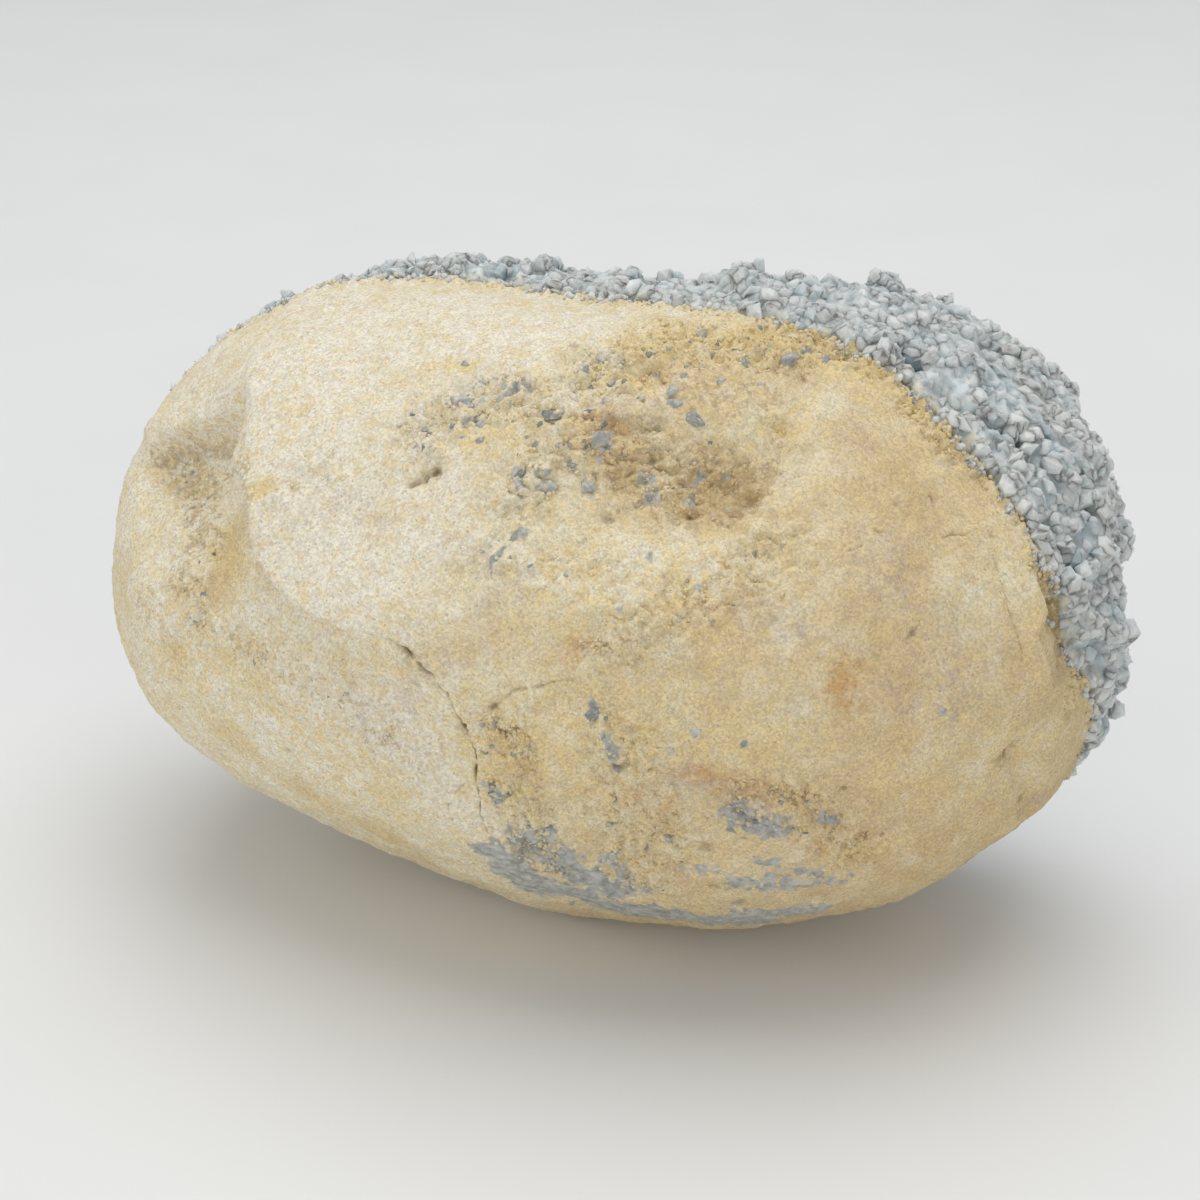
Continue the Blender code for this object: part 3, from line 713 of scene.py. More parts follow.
warm_and_painted_light = painted(tree, "warm_and_painted_light")
warm_and_painted_light = maths(tree, "ADD", warm_and_painted_light, maths(tree, "MULTIPLY", maths(tree, "SUBTRACT", broad, 0.5), 0.9))
warm_and_painted_light = maths(tree, "ADD", warm_and_painted_light, maths(tree, "MULTIPLY", maths(tree, "SUBTRACT", middle, 0.5), 0.7))
ramp = put(tree, "ShaderNodeValToRGB", {"Fac": warm_and_painted_light})
ramp.color_ramp.elements[0].position = 0.05
ramp.color_ramp.elements[0].color = colour(0.74, 0.69, 0.565)
ramp.color_ramp.elements[1].position = 0.95
ramp.color_ramp.elements[1].color = colour(0.57, 0.43, 0.235)
for place, tone in ((0.36, colour(0.70, 0.62, 0.43)), (0.65, colour(0.64, 0.52, 0.31))):
    ramp.color_ramp.elements.new(place).color = tone
sand = ramp.outputs["Color"]

# The brown mask lays a painted shade as well as a brown stain.
for name, tone, size, ragged, soft, share in (
        ("yellow", colour(0.71, 0.56, 0.275), 1.9 * MM, 3.4, 0.7, 0.7),
        ("violet", colour(0.46, 0.35, 0.28), 2.2 * MM, 2.8, 0.8, 0.55),
        ("rust", colour(0.52, 0.26, 0.08), 1.8 * MM, 2.4, 1.0, 0.7),
        ("brown_and_shade", colour(0.36, 0.26, 0.14), 1.3 * MM, 3.6, 0.6, 0.6),
        ("olive", colour(0.25, 0.20, 0.07), 1.6 * MM, 2.4, 0.8, 0.8)):
    laid = patch(tree, painted(tree, name), where, size, ragged, soft)
    sand = mixed(tree, maths(tree, "MULTIPLY", laid, share), sand, tone)

# %% Fine stains all over, and the grain
blotch = ranged(tree, clouds(tree, where, 1.5 * MM, 2.0, 0.75), 0.5, 0.66)
sand = mixed(tree, maths(tree, "MULTIPLY", blotch, 0.28), sand, colour(0.55, 0.42, 0.31))
honey = ranged(tree, clouds(tree, where, 2.1 * MM, 2.0, 0.75), 0.48, 0.62)
sand = mixed(tree, maths(tree, "MULTIPLY", honey, 0.42), sand, colour(0.70, 0.55, 0.28))
pale = ranged(tree, clouds(tree, where, 6.5 * MM, 3.0, 0.65), 0.52, 0.72)
sand = mixed(tree, maths(tree, "MULTIPLY", pale, 0.35), sand, colour(0.76, 0.70, 0.575))
grain_light = ranged(tree, grain.outputs["Shade"], 0.15, 0.85, 0.83, 1.17)
shaded = put(tree, "ShaderNodeVectorMath", {0: sand}, operation="SCALE")
tree.links.new(grain_light, shaded.inputs["Scale"])
sand = mixed(tree, maths(tree, "MULTIPLY", grain.outputs["Speck"], 0.4), shaded.outputs[0],
             colour(0.33, 0.26, 0.19))

# %% Ground celestite, and painted shade in the cracks and pits
grey_patch = patch(tree, painted(tree, "grey"), where, 2.6 * MM, 2.6, 0.25)
grey_tone = put(tree, "ShaderNodeValToRGB", {"Fac": clouds(tree, where, 1.6 * MM, 3.0, 0.65)})
grey_tone.color_ramp.elements[0].position = 0.36
grey_tone.color_ramp.elements[0].color = colour(0.25, 0.26, 0.25)
grey_tone.color_ramp.elements[1].position = 0.62
grey_tone.color_ramp.elements[1].color = colour(0.49, 0.50, 0.475)
sand = mixed(tree, maths(tree, "MULTIPLY", grey_patch, 0.92), sand, grey_tone.outputs["Color"])
# Painted shade: the cracks and pits are darkened almost to black.
crack_and_pit_shade = maths(tree, "MULTIPLY", painted(tree, "recess_shade"), ranged(tree, small, 0.25, 0.55, 0.75, 1.1))
sand = mixed(tree, ranged(tree, crack_and_pit_shade, 0.06, 0.85), sand, colour(0.12, 0.08, 0.048))
tree.links.new(sand, shader.inputs["Base Color"])

# %% Roughness and grain of the limestone
dull = maths(tree, "MULTIPLY_ADD", grey_patch, -0.42)
tree.nodes[-1].inputs[2].default_value = 0.93
tree.links.new(dull, shader.inputs["Roughness"])
rise = maths(tree, "ADD", maths(tree, "MULTIPLY", middle, 1.6), maths(tree, "MULTIPLY", small, 0.8))
coarse_bump = put(tree, "ShaderNodeBump", {"Height": rise, "Strength": 0.35, "Distance": 0.2 * MM})
fine_bump = put(tree, "ShaderNodeBump", {"Height": grain.outputs["Height"], "Strength": 0.5,
                                         "Distance": 0.10 * MM, "Normal": coarse_bump.outputs["Normal"]})
tree.links.new(fine_bump.outputs["Normal"], shader.inputs["Normal"])
shader.inputs["Specular IOR Level"].default_value = 0.25
stone.data.materials.append(limestone)
stone.data.shade_smooth()

# %% [markdown]
# ## Celestite
# Pale blue-grey crystal, half clear, with a frost of sand dust on what stands proud on the outer rim and a painted
# shade on what lies deep.
# Down in the hollow it is cleaner, bluer and glossier. Light goes some way into it, so it is given
# plain transmission with the refraction of celestite, 1.62, and a share of ordinary colour for the
# many tiny flaws inside.

# %% The celestite material
celestite, tree, shader, where = new_material("celestite crystal")
frosty = painted(tree, "frost")
shade = painted(tree, "shade")
cloud = clouds(tree, where, 9 * MM, 2.0)
veil = clouds(tree, where, 1.6 * MM, 2.0, 0.65)
proud = ranged(tree, maths(tree, "ADD", painted(tree, "proud"),
                           maths(tree, "MULTIPLY", maths(tree, "SUBTRACT", veil, 0.5), 0.8)), 0.1, 0.9)
clear = mixed(tree, shade, colour(0.40, 0.53, 0.64), colour(0.62, 0.72, 0.79))
# Painted shade: the deep parts of the rim, the low ground and the feet of the crystals, are coloured darker; what
# stands proud takes a pale frost of dust.
rim_deep_shaded = mixed(tree, shade, colour(0.37, 0.45, 0.48), colour(0.50, 0.57, 0.59))
rim_tone = mixed(tree, proud, rim_deep_shaded, colour(0.72, 0.78, 0.785))
body = mixed(tree, frosty, clear, rim_tone)
body = mixed(tree, maths(tree, "MULTIPLY", ranged(tree, cloud, 0.4, 0.65), 0.3), body,
             colour(0.64, 0.66, 0.57))
# Painted shade: the crevices are coloured dark teal, on top of being pressed in.
body = mixed(tree, maths(tree, "MULTIPLY", painted(tree, "crevice"), 0.9), body, colour(0.13, 0.21, 0.25))
dust_mask = maths(tree, "MULTIPLY", frosty, maths(tree, "MULTIPLY", proud, ranged(tree, veil, 0.45, 0.62)))
body = mixed(tree, maths(tree, "MULTIPLY", dust_mask, 0.55), body, colour(0.84, 0.84, 0.80))
sand_dust = patch(tree, painted(tree, "sanded"), where, 1.2 * MM, 4.6, 0.5)
body = mixed(tree, maths(tree, "MULTIPLY", sand_dust, 0.7), body, colour(0.70, 0.61, 0.38))
speck_mask = ranged(tree, clouds(tree, where, 2.3 * MM, 2.0), 0.735, 0.79)
body = mixed(tree, maths(tree, "MULTIPLY", speck_mask, 0.6), body, colour(0.58, 0.40, 0.13))
tree.links.new(body, shader.inputs["Base Color"])

# %% Gloss, clearness and surface of the celestite
rough = maths(tree, "ADD", ranged(tree, veil, 0.3, 0.7, 0.12, 0.30), maths(tree, "MULTIPLY", frosty, 0.3))
tree.links.new(rough, shader.inputs["Roughness"])
druse = grains(tree, where, 1.1 * MM).outputs["Distance"]
rise = maths(tree, "ADD", maths(tree, "MULTIPLY", druse, frosty), maths(tree, "MULTIPLY", veil, 0.3))
facets = put(tree, "ShaderNodeBump", {"Height": rise, "Strength": 0.35, "Distance": 0.3 * MM})
tree.links.new(facets.outputs["Normal"], shader.inputs["Normal"])
shader.inputs["IOR"].default_value = 1.62
shader.inputs["Transmission Weight"].default_value = 0.15
shader.inputs["Subsurface Weight"].default_value = 0.8
shader.inputs["Subsurface Radius"].default_value = (1.0, 1.1, 1.2)
shader.inputs["Subsurface Scale"].default_value = 2.8 * MM

# %% [markdown]
# ## The crystal crust
# The crust is one mass: a wall of massive celestite and the crystals that grew out of it. The CAD
# solid already holds the wall and the largest crystals, so a merged copy of it is the ground, and
# smaller crystals are planted on it afterwards.

# %% The ground of the crust
crust = copy_of_node("celestite_crust", "celestite_crust_ground")
crust.data.materials.append(celestite)
crust.data.shade_flat()
print("crust ground:", triangles(crust), "triangles")

# %% [markdown]
# ## Four crystals to plant
# Celestite grows as flattened prisms that end in a chisel or a blunt pyramid. Four of them are
# modelled from a cylinder with few sides: it is flattened, and its top face is pulled up from the
# shoulder and drawn together to a ridge, a small face or a point. They are one unit wide, and each is
# used thousands of times, so they have only a dozen faces.

# %% Modelling one crystal
def crystal_form(name, sides, thickness, shoulder, end, narrowed, foot=-0.5):
    """A prism with sloping end faces. Its foot lies below its place on the crust."""
    bpy.ops.object.select_all(action="DESELECT")
    bpy.ops.mesh.primitive_cylinder_add(vertices=sides, radius=0.5, depth=shoulder - foot,
                                        location=(0, 0, (shoulder + foot) / 2))
    form = bpy.context.object
    form.name = name
    bpy.ops.object.transform_apply(location=True, rotation=False, scale=False)
    bpy.ops.object.mode_set(mode="EDIT")
    bpy.ops.mesh.select_all(action="SELECT")
    bpy.ops.transform.resize(value=(1, thickness, 1), center_override=(0, 0, 0))
    bpy.ops.object.mode_set(mode="OBJECT")
    picked(form, "FACE", [face.normal.z > 0.9 for face in form.data.polygons])
    bpy.ops.mesh.extrude_region_move(TRANSFORM_OT_translate={"value": (0, 0, end - shoulder)})
    bpy.ops.transform.resize(value=(*narrowed, 1), center_override=(0, 0, end))
    bpy.ops.object.mode_set(mode="OBJECT")
    corners = np.array([v.co for v in form.data.vertices])
    faces = [list(p.vertices) for p in form.data.polygons]
    bpy.data.objects.remove(form)
    return corners, faces


FORMS = (
    crystal_form("blocky crystal", 4, 0.85, 0.55, 0.85, (0.55, 0.35)),
    crystal_form("six-sided crystal", 6, 0.75, 0.6, 0.95, (0.5, 0.35)),
    crystal_form("chisel crystal", 4, 0.62, 0.6, 1.05, (0.75, 0.06)),
    crystal_form("pointed crystal", 5, 0.85, 0.5, 1.15, (0.14, 0.14)),
)
print("faces of each form:", [len(faces) for _, faces in FORMS])

# %% [markdown]
# ## Planting crystals
# Crystals are planted at random places of the crust that keep a distance from each other. Each one
# stands about square to the ground and leans a little. All copies of a band are written into one
# mesh, because they grew together.

# %% Random places on the crust
picker = np.random.default_rng(31)
faces_of_crust = crust.data.polygons
crust.data.calc_loop_triangles()
corners = np.array([[crust.data.vertices[i].co for i in t.vertices] for t in crust.data.loop_triangles])
edge_one = corners[:, 1] - corners[:, 0]
edge_two = corners[:, 2] - corners[:, 0]
area_normals = np.cross(edge_one, edge_two)
areas = np.linalg.norm(area_normals, axis=1) / 2
centres = corners.mean(axis=1)
against_stone = np.array([(stone_tree.find_nearest(Vector(c), 1.2 * MM)[0]) is not None for c in centres])
print("crust area that shows: %.0f mm2" % (areas[~against_stone].sum() / MM ** 2))


def places_on_crust(wanted, spacing_at, wish):
    """Places and normals on the crust. wish is how much each face wants crystals."""
    share = areas * wish * ~against_stone
    picked = picker.choice(len(areas), wanted, p=share / share.sum())
    u = np.sqrt(picker.random(wanted))
    v = picker.random(wanted)
    spots = (corners[picked, 0] * (1 - u)[:, None] + corners[picked, 1] * (u * (1 - v))[:, None]
             + corners[picked, 2] * (u * v)[:, None])
    outward = area_normals[picked] / (2 * areas[picked])[:, None]
    kept = []
    cells = {}
    for k, spot in enumerate(spots):
        spacing = spacing_at(spot)
        cell = tuple(int(c // (3 * MM)) for c in spot)
        around = [j for dx in (-1, 0, 1) for dy in (-1, 0, 1) for dz in (-1, 0, 1)
                  for j in cells.get((cell[0] + dx, cell[1] + dy, cell[2] + dz), ())]
        if all(np.sum((spots[j] - spot) ** 2) > spacing * spacing for j in around):
            cells.setdefault(cell, []).append(k)
            kept.append(k)
    return spots[kept], outward[kept]


# %% Stamping the forms into one mesh
def planted(name, spots, outward, width_at, tall, lean, frost_at, proud_at=None):
    """One mesh of crystals, all different in size, turn and lean."""
    points_made, faces_made, shades, frosts, prouds = [], [], [], [], []
    total = 0
    for spot, normal in zip(spots, outward):
        corners_of_form, faces_of_form = FORMS[picker.integers(len(FORMS))]
        width = width_at(spot)
        axis = Vector(normal + picker.normal(0, lean, 3)).normalized()
        turn = axis.to_track_quat("Z", "Y").to_matrix() @ Matrix.Rotation(picker.uniform(0, 6.28), 3, "Z")
        size = width * np.array((1, picker.uniform(0.8, 1.1), tall * picker.uniform(0.7, 1.3)))
        stamped = (corners_of_form * size) @ np.array(turn).T + spot
        points_made.append(stamped)
        faces_made += [[i + total for i in face] for face in faces_of_form]
        total += len(corners_of_form)
        shades.append(np.full(len(corners_of_form), picker.random()))
        frosts.append(np.full(len(corners_of_form), frost_at(spot)))
        # The proud value is low at a crystal's foot and on low ground, where the material paints shade, and high at
        # tips and lumps, where it paints frost.
        tip = np.clip(corners_of_form[:, 2] / corners_of_form[:, 2].max(), 0, 1)
        ground_proud = 0.5 + lump_at(spot) if proud_at is None else proud_at(spot)
        prouds.append(0.25 * tip + 0.75 * min(max(ground_proud, 0), 1))
    mesh = bpy.data.meshes.new(name)
    made_points = np.concatenate(points_made)
    made_points[:, 2] = np.maximum(made_points[:, 2], 0.6 * MM)
    mesh.from_pydata(made_points.tolist(), [], faces_made)
    piece = bpy.data.objects.new(name, mesh)
    bpy.context.scene.collection.objects.link(piece)
    for layer_name, values in (("shade", shades), ("frost", frosts), ("proud", prouds)):
        layer = mesh.attributes.new(layer_name, "FLOAT", "POINT")
        layer.data.foreach_set("value", np.concatenate(values))
    mesh.materials.append(celestite)
    print(name, "has", len(spots), "crystals and", triangles(piece), "triangles")
    return piece


# %% Rim, crest and hollow
CREST_Y = 42 * MM
hollow_middle = np.array((0.6, 42, 55.6)) * MM


def depth_in_hollow(spot):
    """0 outside and on the crest, 1 well down in the hollow."""
    across = (spot - hollow_middle) / (np.array((64, 1e3, 33)) * MM)
    inside = np.clip(1.25 - np.hypot(across[..., 0], across[..., 2]), 0, 0.3) / 0.3
    return inside * (np.clip((CREST_Y + 2 * MM - spot[..., 1]) / (4 * MM), 0, 1))


def frost_at(spot):
    return float(np.clip(1 - 0.85 * depth_in_hollow(spot), 0.15, 1))


def lump_at(spot):
    return noise.noise(Vector(spot) / (6 * MM)) + 0.5 * noise.noise(Vector(spot) / (17 * MM))


def growth_at(spot):
    """How freely the crystals grew: 1 on top and at the +X end, less at the -X end and below."""
    across = (spot - hollow_middle) / (np.array((91, 1e3, 56)) * MM)
    length = max(math.hypot(across[0], across[2]), 1e-6)
    down = max(0.0, -across[2] / length)
    left = max(0.0, -across[0] / length)
    return (1 - min(1.0, 1.2 * down * down)) * (1 - 0.7 * left)


inside_faces = depth_in_hollow(centres)
hollow_crystals = planted("hollow_crystals", *places_on_crust(9000, lambda s: 2.1 * MM, inside_faces),
                          lambda s: (4.3 + 1.2 * lump_at(s)) * MM * picker.uniform(0.6, 1.35),
                          1.0, 0.38, frost_at)

# %% Seeds of the rim
rim_spots, rim_pieces = [], []
for name, many, spacing, width, tall in (("rim_large", 7000, 2.7, 4.4, 0.46),
                                         ("rim_small", 22000, 1.5, 2.5, 0.62)):
    spots, outward = places_on_crust(many, lambda s: spacing * MM, 1 - 0.9 * inside_faces)
    spots = spots - outward * 0.2 * MM
    rim_spots.append(spots)
    rim_pieces.append(planted(name, spots, outward,
                              lambda s: (width * (0.6 + 0.4 * growth_at(s)) * MM * picker.uniform(0.65, 1.3)),
                              tall, 0.32, frost_at))

# %% [markdown]
# On the outer rim the crystals are grown into each other like melted sugar. So these seeds and the
# ground are joined, remeshed into one closed crust, and warped a little, which gives the rounded
# clusters of 8 mm. Two crevices are pressed in where the photograph shows them.

# %% One crust
CRUST_FACE = 0.62 * MM
only(crust)
for piece in rim_pieces:
    piece.select_set(True)
bpy.ops.object.join()
finished(crust, "REMESH", mode="VOXEL", voxel_size=CRUST_FACE, use_smooth_shade=True)
crust.name = "celestite_crust_ground"
print("crust after the remesh:", triangles(crust), "triangles")

# %% Clusters and crevices
CREVICES = (((970, 400), (984, 420), (1005, 436), (1022, 456)), ((1046, 528), (1059, 556), (1068, 572)),
            ((900, 350), (912, 362)), ((1075, 500), (1085, 515)))
ground_points, ground_normals = points_of(crust)
to_stone = np.array([stone_tree.find_nearest(Vector(p), 5 * MM)[3] or 5 * MM for p in ground_points])
free = np.clip((to_stone - 0.8 * MM) / (2.5 * MM), 0, 1)[:, None]
warp = np.array([noise.noise_vector(Vector(p) / (8 * MM)) for p in ground_points]) * 1.7 * MM
fine_warp = np.array([noise.noise_vector(Vector(p) / (2.2 * MM)) for p in ground_points]) * 0.3 * MM
above_ground = np.array([crust_tree.find_nearest(Vector(p), 4 * MM)[3] or 0.0 for p in ground_points])
crevice = np.zeros(len(ground_points))
ground_moved = ground_points + (warp + fine_warp) * free
for pixels in CREVICES:
    line = np.array([seen_at(crust_tree, x, y) for x, y in pixels])
    away = distance_to_line(ground_points, ground_normals, line)[0]
    outward = ground_normals[away < 4 * MM].mean(axis=0)
    pressed = bell(away, 2.6 * MM)
    ground_moved -= 2.6 * MM * pressed[:, None] * outward / np.linalg.norm(outward)
    crevice = np.maximum(crevice, pressed)
ground_moved[:, 2] = np.maximum(ground_moved[:, 2], 0.6 * MM)
crust.data.vertices.foreach_set("co", ground_moved.ravel())
crust.data.update()

# %% What the crust's material needs to know
nearest_seed = KDTree(sum(len(spots) for spots in rim_spots))
for index, spot in enumerate(np.concatenate(rim_spots)):
    nearest_seed.insert(spot, index)
nearest_seed.balance()
seed_shade = picker.random(sum(len(spots) for spots in rim_spots))
# proud and crevice carry the painted shade of the crust: low ground and crevices are coloured darker.
for layer_name, values in (
        ("frost", [frost_at(p) for p in ground_points]),
        ("shade", [seed_shade[nearest_seed.find(p)[1]] for p in ground_points]),
        ("proud", np.clip(above_ground / (1.9 * MM), 0, 1) * (1 - crevice) * 0.8),
        ("crevice", crevice),
        ("sanded", 0.8 * bell(to_stone - 0.4 * MM, 2.6 * MM))):
    layer = crust.data.attributes.new(layer_name, "FLOAT", "POINT")
    layer.data.foreach_set("value", values)

# %% [markdown]
# The remesh rounds every edge, and a real druse still has sharp little faces on its rounded clusters.
# So sharp crystals are planted on the crust again, sunk so far that only their tips stand out of it.

# %% Sharp tips on the rounded crust
proud_of_ground = np.clip(above_ground / (1.9 * MM), 0, 1) * (1 - crevice)
_, moved_normals = points_of(crust)
crust_inside = depth_in_hollow(ground_points)
wish = (to_stone > 0.5 * MM) * (1 - 0.97 * crust_inside) * (1 - 0.8 * crevice)
chosen = picker.choice(len(ground_moved), 26000, p=wish / wish.sum(), replace=False)
tip_tree = KDTree(len(chosen))
for index in chosen:
    tip_tree.insert(ground_moved[index], index)
tip_tree.balance()
taken, kept = set(), []
for index in chosen:
    spacing = (1.25 + 0.4 * noise.noise(Vector(ground_moved[index]) / (7 * MM))) * MM
    if index not in taken:
        kept.append(index)
        taken.update(other for _, other, _ in tip_tree.find_range(ground_moved[index], spacing))
kept = np.array(kept[:7800])
rim_crystals = planted("rim_crystals", ground_moved[kept] - moved_normals[kept] * 0.85 * MM, moved_normals[kept],
                       lambda s: (3.1 + 0.8 * lump_at(s)) * MM * picker.uniform(0.65, 1.3), 0.38, 0.24, frost_at,
                       lambda s: proud_of_ground[tip_tree.find(s)[1]])

# %% Thin out the crust where it is covered
CRUST_TRIANGLES = 150000
covered = (to_stone < 0.7 * MM) | (crust_inside > 0.9)
group = crust.vertex_groups.new(name="covered")
group.add(np.flatnonzero(covered).tolist(), 1.0, "REPLACE")
finished(crust, "DECIMATE", ratio=1 - 0.85 * covered.mean(), vertex_group="covered")
crust.vertex_groups.clear()
finished(crust, "DECIMATE", ratio=min(1.0, CRUST_TRIANGLES / triangles(crust)))
crust.data.materials.clear()
crust.data.materials.append(celestite)
print("crust:", triangles(crust), "triangles")

# %% The first crystals on the rock's edge
chance = bell(to_crust - 1.2 * MM, 2.2 * MM) ** 2 * on_skin
chosen = picker.choice(len(points), 2200, p=chance / chance.sum(), replace=False)
edge_crystals = planted("edge_crystals", moved[chosen] - normals[chosen] * 0.1 * MM, normals[chosen],
                        lambda s: picker.uniform(0.5, 1.7) * MM, 0.6, 0.4, frost_at, lambda s: 0.7)
bands = [hollow_crystals, rim_crystals, edge_crystals]

# %% [markdown]
# ## Stone chips in the skin
# Where the skin is crumbly, angular chips of grey-blue celestite sit in it, a few millimetres across
# and sunk to more than half. They are planted like the crystals, at pixels of the photograph.

# %% Chip forms
def chip_form(seed):
    """An angular chip: an ico-sphere, flattened, with its corners pushed about."""
    bpy.ops.object.select_all(action="DESELECT")
    bpy.ops.mesh.primitive_ico_sphere_add(subdivisions=1, radius=0.5, location=(0, 0, 0))
    form = bpy.context.object
    pick = random.Random(seed)
    for vertex in form.data.vertices:
        vertex.co *= pick.uniform(0.6, 1.3)
    corners_of_form = np.array([v.co for v in form.data.vertices])
    faces = [list(p.vertices) for p in form.data.polygons]
    bpy.data.objects.remove(form)
    return corners_of_form, faces


CHIP_FORMS = [chip_form(seed) for seed in (3, 8, 15, 22)]

# %% Where the chips are
CHIPS = (  # pixel, length and width in pixels
    (425, 430, 16, 9), (476, 420, 12, 9), (553, 413, 20, 15), (464, 398, 20, 12), (482, 383, 12, 9),
    (505, 385, 14, 10), (528, 389, 14, 8), (465, 365, 14, 7), (599, 360, 20, 8), (586, 370, 12, 8),
    (613, 382, 10, 8), (683, 375, 12, 10), (673, 390, 18, 9), (674, 402, 20, 13), (691, 419, 23, 17),
    (696, 334, 18, 12), (742, 365, 16, 12), (721, 379, 12, 8), (785, 360, 19, 20), (770, 346, 12, 8),
    (604, 441, 22, 26), (570, 464, 14, 12), (545, 487, 18, 18), (586, 484, 18, 16), (517, 475, 8, 18),
    (520, 496, 12, 12), (544, 473, 13, 9), (681, 487, 8, 20), (640, 398, 9, 7), (594, 714, 19, 13),
    (507, 726, 14, 10), (514, 751, 12, 9), (500, 796, 18, 12), (493, 785, 12, 8), (695, 732, 10, 12),
    (670, 751, 12, 6), (743, 744, 8, 8), (668, 840, 12, 12), (611, 825, 12, 8), (736, 812, 16, 8),
    (756, 826, 18, 10), (778, 828, 12, 8), (827, 819, 14, 7), (730, 830, 10, 7), (805, 352, 12, 10),
    (824, 358, 14, 9), (760, 384, 9, 6), (496, 408, 9, 8), (512, 404, 8, 7), (447, 405, 9, 8),
    (539, 425, 8, 6), (700, 475, 7, 20), (942, 712, 9, 9), (523, 534, 11, 12), (592, 497, 8, 7),
    (712, 357, 10, 7), (650, 355, 10, 7), (660, 430, 8, 7), (575, 400, 8, 6), (480, 440, 8, 7),
)


def chips_in_skin():
    """All chips as one mesh: the placed ones, and smaller ones strewn where the skin crumbles."""
    finished_skin = tree_of(stone)
    pick = random.Random(5)
    wanted = []
    for x, y, long_side, short_side in CHIPS:
        wanted.append((seen_at(finished_skin, x, y), long_side * PIXEL, short_side * PIXEL))
    chance = np.clip(masks["crumbly"] - 0.35, 0, 1) * (points[:, 0] < 60 * MM)
    strewn = picker.choice(len(points), 260, p=chance / chance.sum())
    for index in strewn:
        size = pick.uniform(0.5, 1.5) * MM
        wanted.append((Vector(moved[index]), size, size * pick.uniform(0.5, 1)))
    all_points, all_faces, shades = [], [], []
    total = 0
    for place, long_side, short_side in wanted:
        point, normal, _, _ = finished_skin.find_nearest(place)
        corners_of_form, faces = pick.choice(CHIP_FORMS)
        turn = normal.to_track_quat("Z", "X").to_matrix() @ Matrix.Rotation(pick.uniform(-0.6, 0.6), 3, "Z")
        thick = min(long_side, short_side)
        size = np.array((short_side * 1.15, long_side * 1.15, thick * 0.9))
        stamped = (corners_of_form * size) @ np.array(turn).T + np.array(point - normal * thick * 0.2)
        all_points.append(stamped)
        all_faces += [[i + total for i in face] for face in faces]
        total += len(corners_of_form)
        shades.append(np.full(len(corners_of_form), pick.random()))
    mesh = bpy.data.meshes.new("stone_chips")
    mesh.from_pydata(np.concatenate(all_points).tolist(), [], all_faces)
    layer = mesh.attributes.new("shade", "FLOAT", "POINT")
    layer.data.foreach_set("value", np.concatenate(shades))
    piece = bpy.data.objects.new("stone_chips", mesh)
    bpy.context.scene.collection.objects.link(piece)
    return piece


chips = chips_in_skin()
print("chips:", triangles(chips), "triangles")

# %% [markdown]
# Along the broken edge, and where the skin crumbles, loose-looking crumbs of sand stick to the stone
# and to the first crystals. They are tiny lumps of the same limestone.

# %% Crumbs of sand
def lump_form(seed):
    """A crumb: an ico-sphere with its corners pushed about."""
    bpy.ops.object.select_all(action="DESELECT")
    bpy.ops.mesh.primitive_ico_sphere_add(subdivisions=1, radius=0.5, location=(0, 0, 0))
    form = bpy.context.object
    pick = random.Random(seed)
    for vertex in form.data.vertices:
        vertex.co *= pick.uniform(0.7, 1.2)
    corners_of_form = np.array([v.co for v in form.data.vertices])
    faces = [list(p.vertices) for p in form.data.polygons]
    bpy.data.objects.remove(form)
    return corners_of_form, faces


def crumbs_on_skin(count):
    """Crumbs along the skin's edge and on its crumbly parts, as one mesh."""
    forms = [lump_form(seed) for seed in (2, 5, 9)]
    pick = random.Random(12)
    chance = 0.35 * brink * on_skin + np.clip(masks["crumbly"] - 0.3, 0, 1)
    places = picker.choice(len(points), count, p=chance / chance.sum())
    all_points, all_faces, warmth, yellowness = [], [], [], []
    total = 0
    for index in places:
        corners_of_form, faces = pick.choice(forms)
        size = pick.uniform(0.3, 1.0) ** 1.6 * MM
        spread = Vector(picker.normal(0, 0.3 * MM, 3)) * float(brink[index])
        turn = Matrix.Rotation(pick.uniform(0, 6.28), 3, Vector(picker.normal(0, 1, 3)))
        stamped = (corners_of_form * size) @ np.array(turn).T + moved[index] + spread
        all_points.append(stamped)
        all_faces += [[i + total for i in face] for face in faces]
        total += len(corners_of_form)
        warmth.append(np.full(len(corners_of_form), masks["warm_and_painted_light"][index]))
        yellowness.append(np.full(len(corners_of_form), masks["yellow"][index]))
    mesh = bpy.data.meshes.new("sand_crumbs")
    mesh.from_pydata(np.concatenate(all_points).tolist(), [], all_faces)
    for layer_name, values in (("warm_and_painted_light", warmth), ("yellow", yellowness)):
        layer = mesh.attributes.new(layer_name, "FLOAT", "POINT")
        layer.data.foreach_set("value", np.concatenate(values))
    mesh.materials.append(limestone)
    piece = bpy.data.objects.new("sand_crumbs", mesh)
    bpy.context.scene.collection.objects.link(piece)
    piece.data.shade_smooth()
    return piece


crumbs = crumbs_on_skin(6000)
print("crumbs:", triangles(crumbs), "triangles")

# %% [markdown]
# The chips have lost their gloss: grey-blue, worn, with the sand still on them in patches.

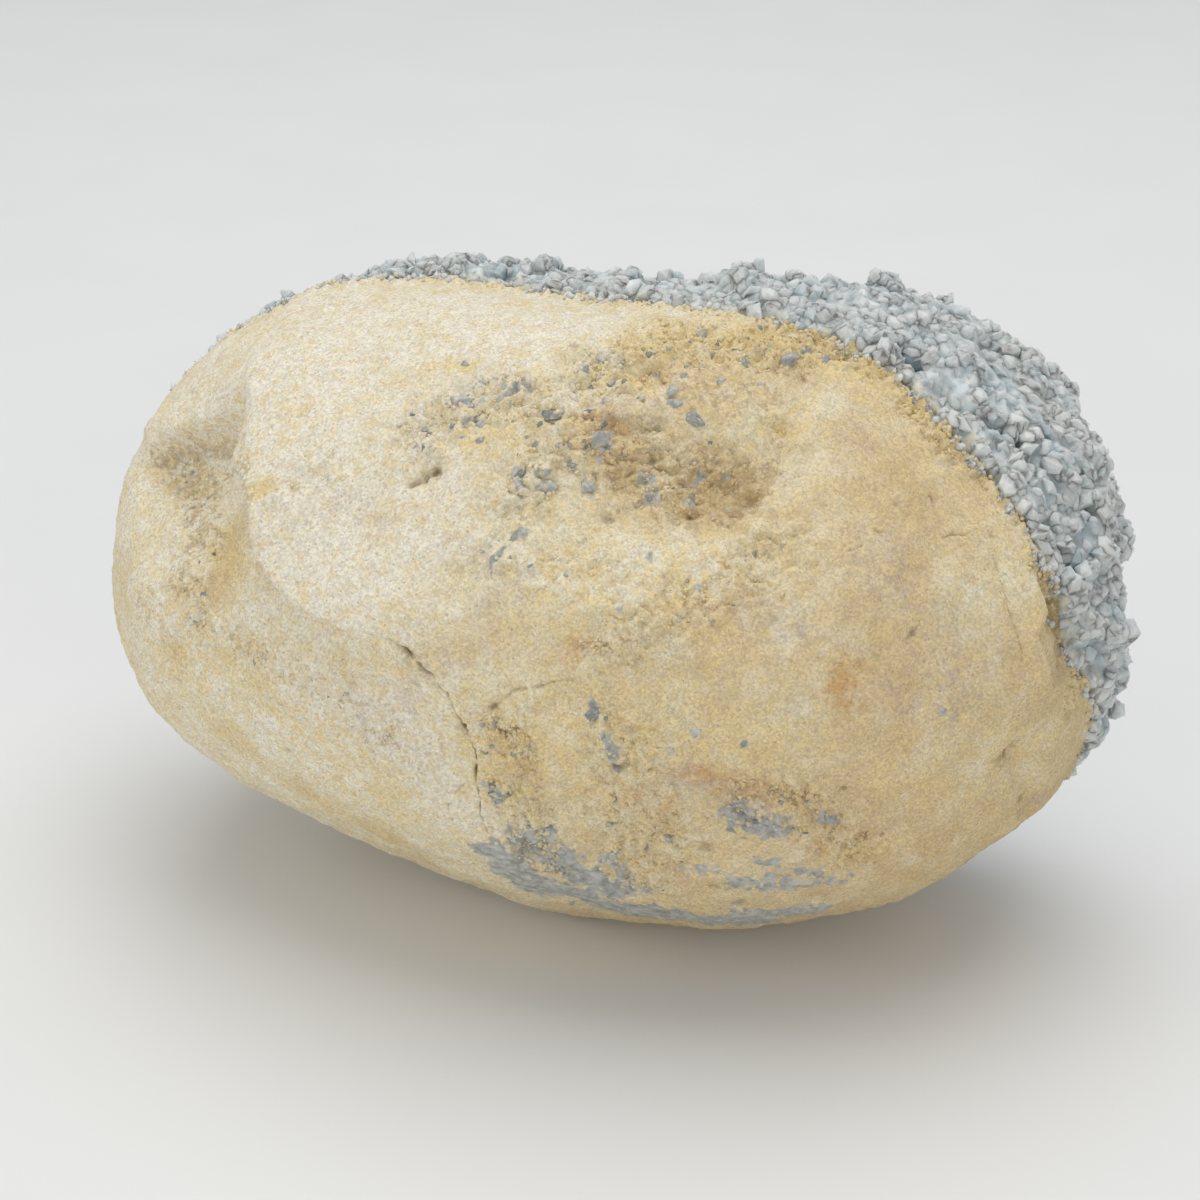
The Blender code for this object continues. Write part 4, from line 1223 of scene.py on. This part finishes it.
# %% The chips' material
worn, tree, shader, where = new_material("worn celestite chip")
tone = mixed(tree, painted(tree, "shade"), colour(0.22, 0.23, 0.22), colour(0.50, 0.51, 0.485))
mottled = ranged(tree, clouds(tree, where, 0.9 * MM, 4.0, 0.65), 0.35, 0.7, 0.75, 1.25)
scaled = put(tree, "ShaderNodeVectorMath", {0: tone}, operation="SCALE")
tree.links.new(mottled, scaled.inputs["Scale"])
grain = put(tree, "ShaderNodeGroup", {}, node_tree=sand_grain)
tree.links.new(where, grain.inputs["Where"])
grain.inputs["Size"].default_value = 0.34 * MM
sandy = ranged(tree, clouds(tree, where, 1.5 * MM, 5.0, 0.7), 0.52, 0.62)
sandy_tone = mixed(tree, grain.outputs["Shade"], colour(0.50, 0.40, 0.25), colour(0.74, 0.65, 0.47))
tree.links.new(mixed(tree, maths(tree, "MULTIPLY", sandy, 0.85), scaled.outputs[0], sandy_tone),
               shader.inputs["Base Color"])
tree.links.new(ranged(tree, sandy, 0, 1, 0.5, 0.9), shader.inputs["Roughness"])
worn_bump = put(tree, "ShaderNodeBump", {"Height": grain.outputs["Height"], "Strength": 0.5,
                                         "Distance": 0.12 * MM})
tree.links.new(worn_bump.outputs["Normal"], shader.inputs["Normal"])
chips.data.materials.append(worn)

# %% [markdown]
# ## Floor and light
# The stone stands on a seamless pale sheet in a bright, soft light from above and from the left, as in
# a light tent. The floor's tone is the photograph's background.

# %% Floor
bpy.ops.object.select_all(action="DESELECT")
bpy.ops.mesh.primitive_plane_add(size=8, location=(0, 1.5, 0))
floor = bpy.context.object
floor.name = "floor"
paper, tree, shader, where = new_material("pale paper")
shader.inputs["Base Color"].default_value = colour(0.785, 0.785, 0.775)
tree.links.new(ranged(tree, clouds(tree, where, 40 * MM, 3.0), 0.3, 0.7, 0.5, 0.6),
               shader.inputs["Roughness"])
floor.data.materials.append(paper)

# %% Lights
def soft_light(name, place, aim, size, watts, tint=(1, 1, 1)):
    """A square soft light that looks at a point."""
    bpy.ops.object.select_all(action="DESELECT")
    turn = (Vector(place) - Vector(aim)).to_track_quat("Z", "Y").to_euler()
    bpy.ops.object.light_add(type="AREA", location=place, rotation=turn)
    light = bpy.context.object
    light.name = name
    light.data.shape = "SQUARE"
    light.data.size = size
    light.data.energy = watts
    light.data.color = tint
    return light


MIDDLE = (0, 0, 0.05)
soft_light("tent top", (0.0, 0.25, 1.3), MIDDLE, 1.3, 12.0)
soft_light("tent left", (-1.2, -0.7, 0.45), MIDDLE, 0.8, 3.2)
soft_light("tent right", (1.0, -1.0, 0.5), MIDDLE, 0.9, 3.2)
soft_light("tent front", (-0.25, -1.4, 0.3), MIDDLE, 0.9, 3.6)
world = bpy.data.worlds.new("bright room")
world.use_nodes = True
world.node_tree.nodes["Background"].inputs["Color"].default_value = colour(0.96, 0.98, 1.0)
world.node_tree.nodes["Background"].inputs["Strength"].default_value = 0.41
bpy.context.scene.world = world
bpy.context.scene.view_settings.view_transform = "Standard"

# %% [markdown]
# ## The pieces on the body
# Every piece rides on the one body, and the two skins stand for the two CAD nodes, which are hidden.

# %% Ride and replace
for piece in (stone, crust, chips, crumbs, *bands):
    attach(piece, "root")
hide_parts("limestone_nodule")
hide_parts("celestite_crust")
print("triangles in all:", sum(triangles(p) for p in (stone, crust, chips, crumbs, *bands)))
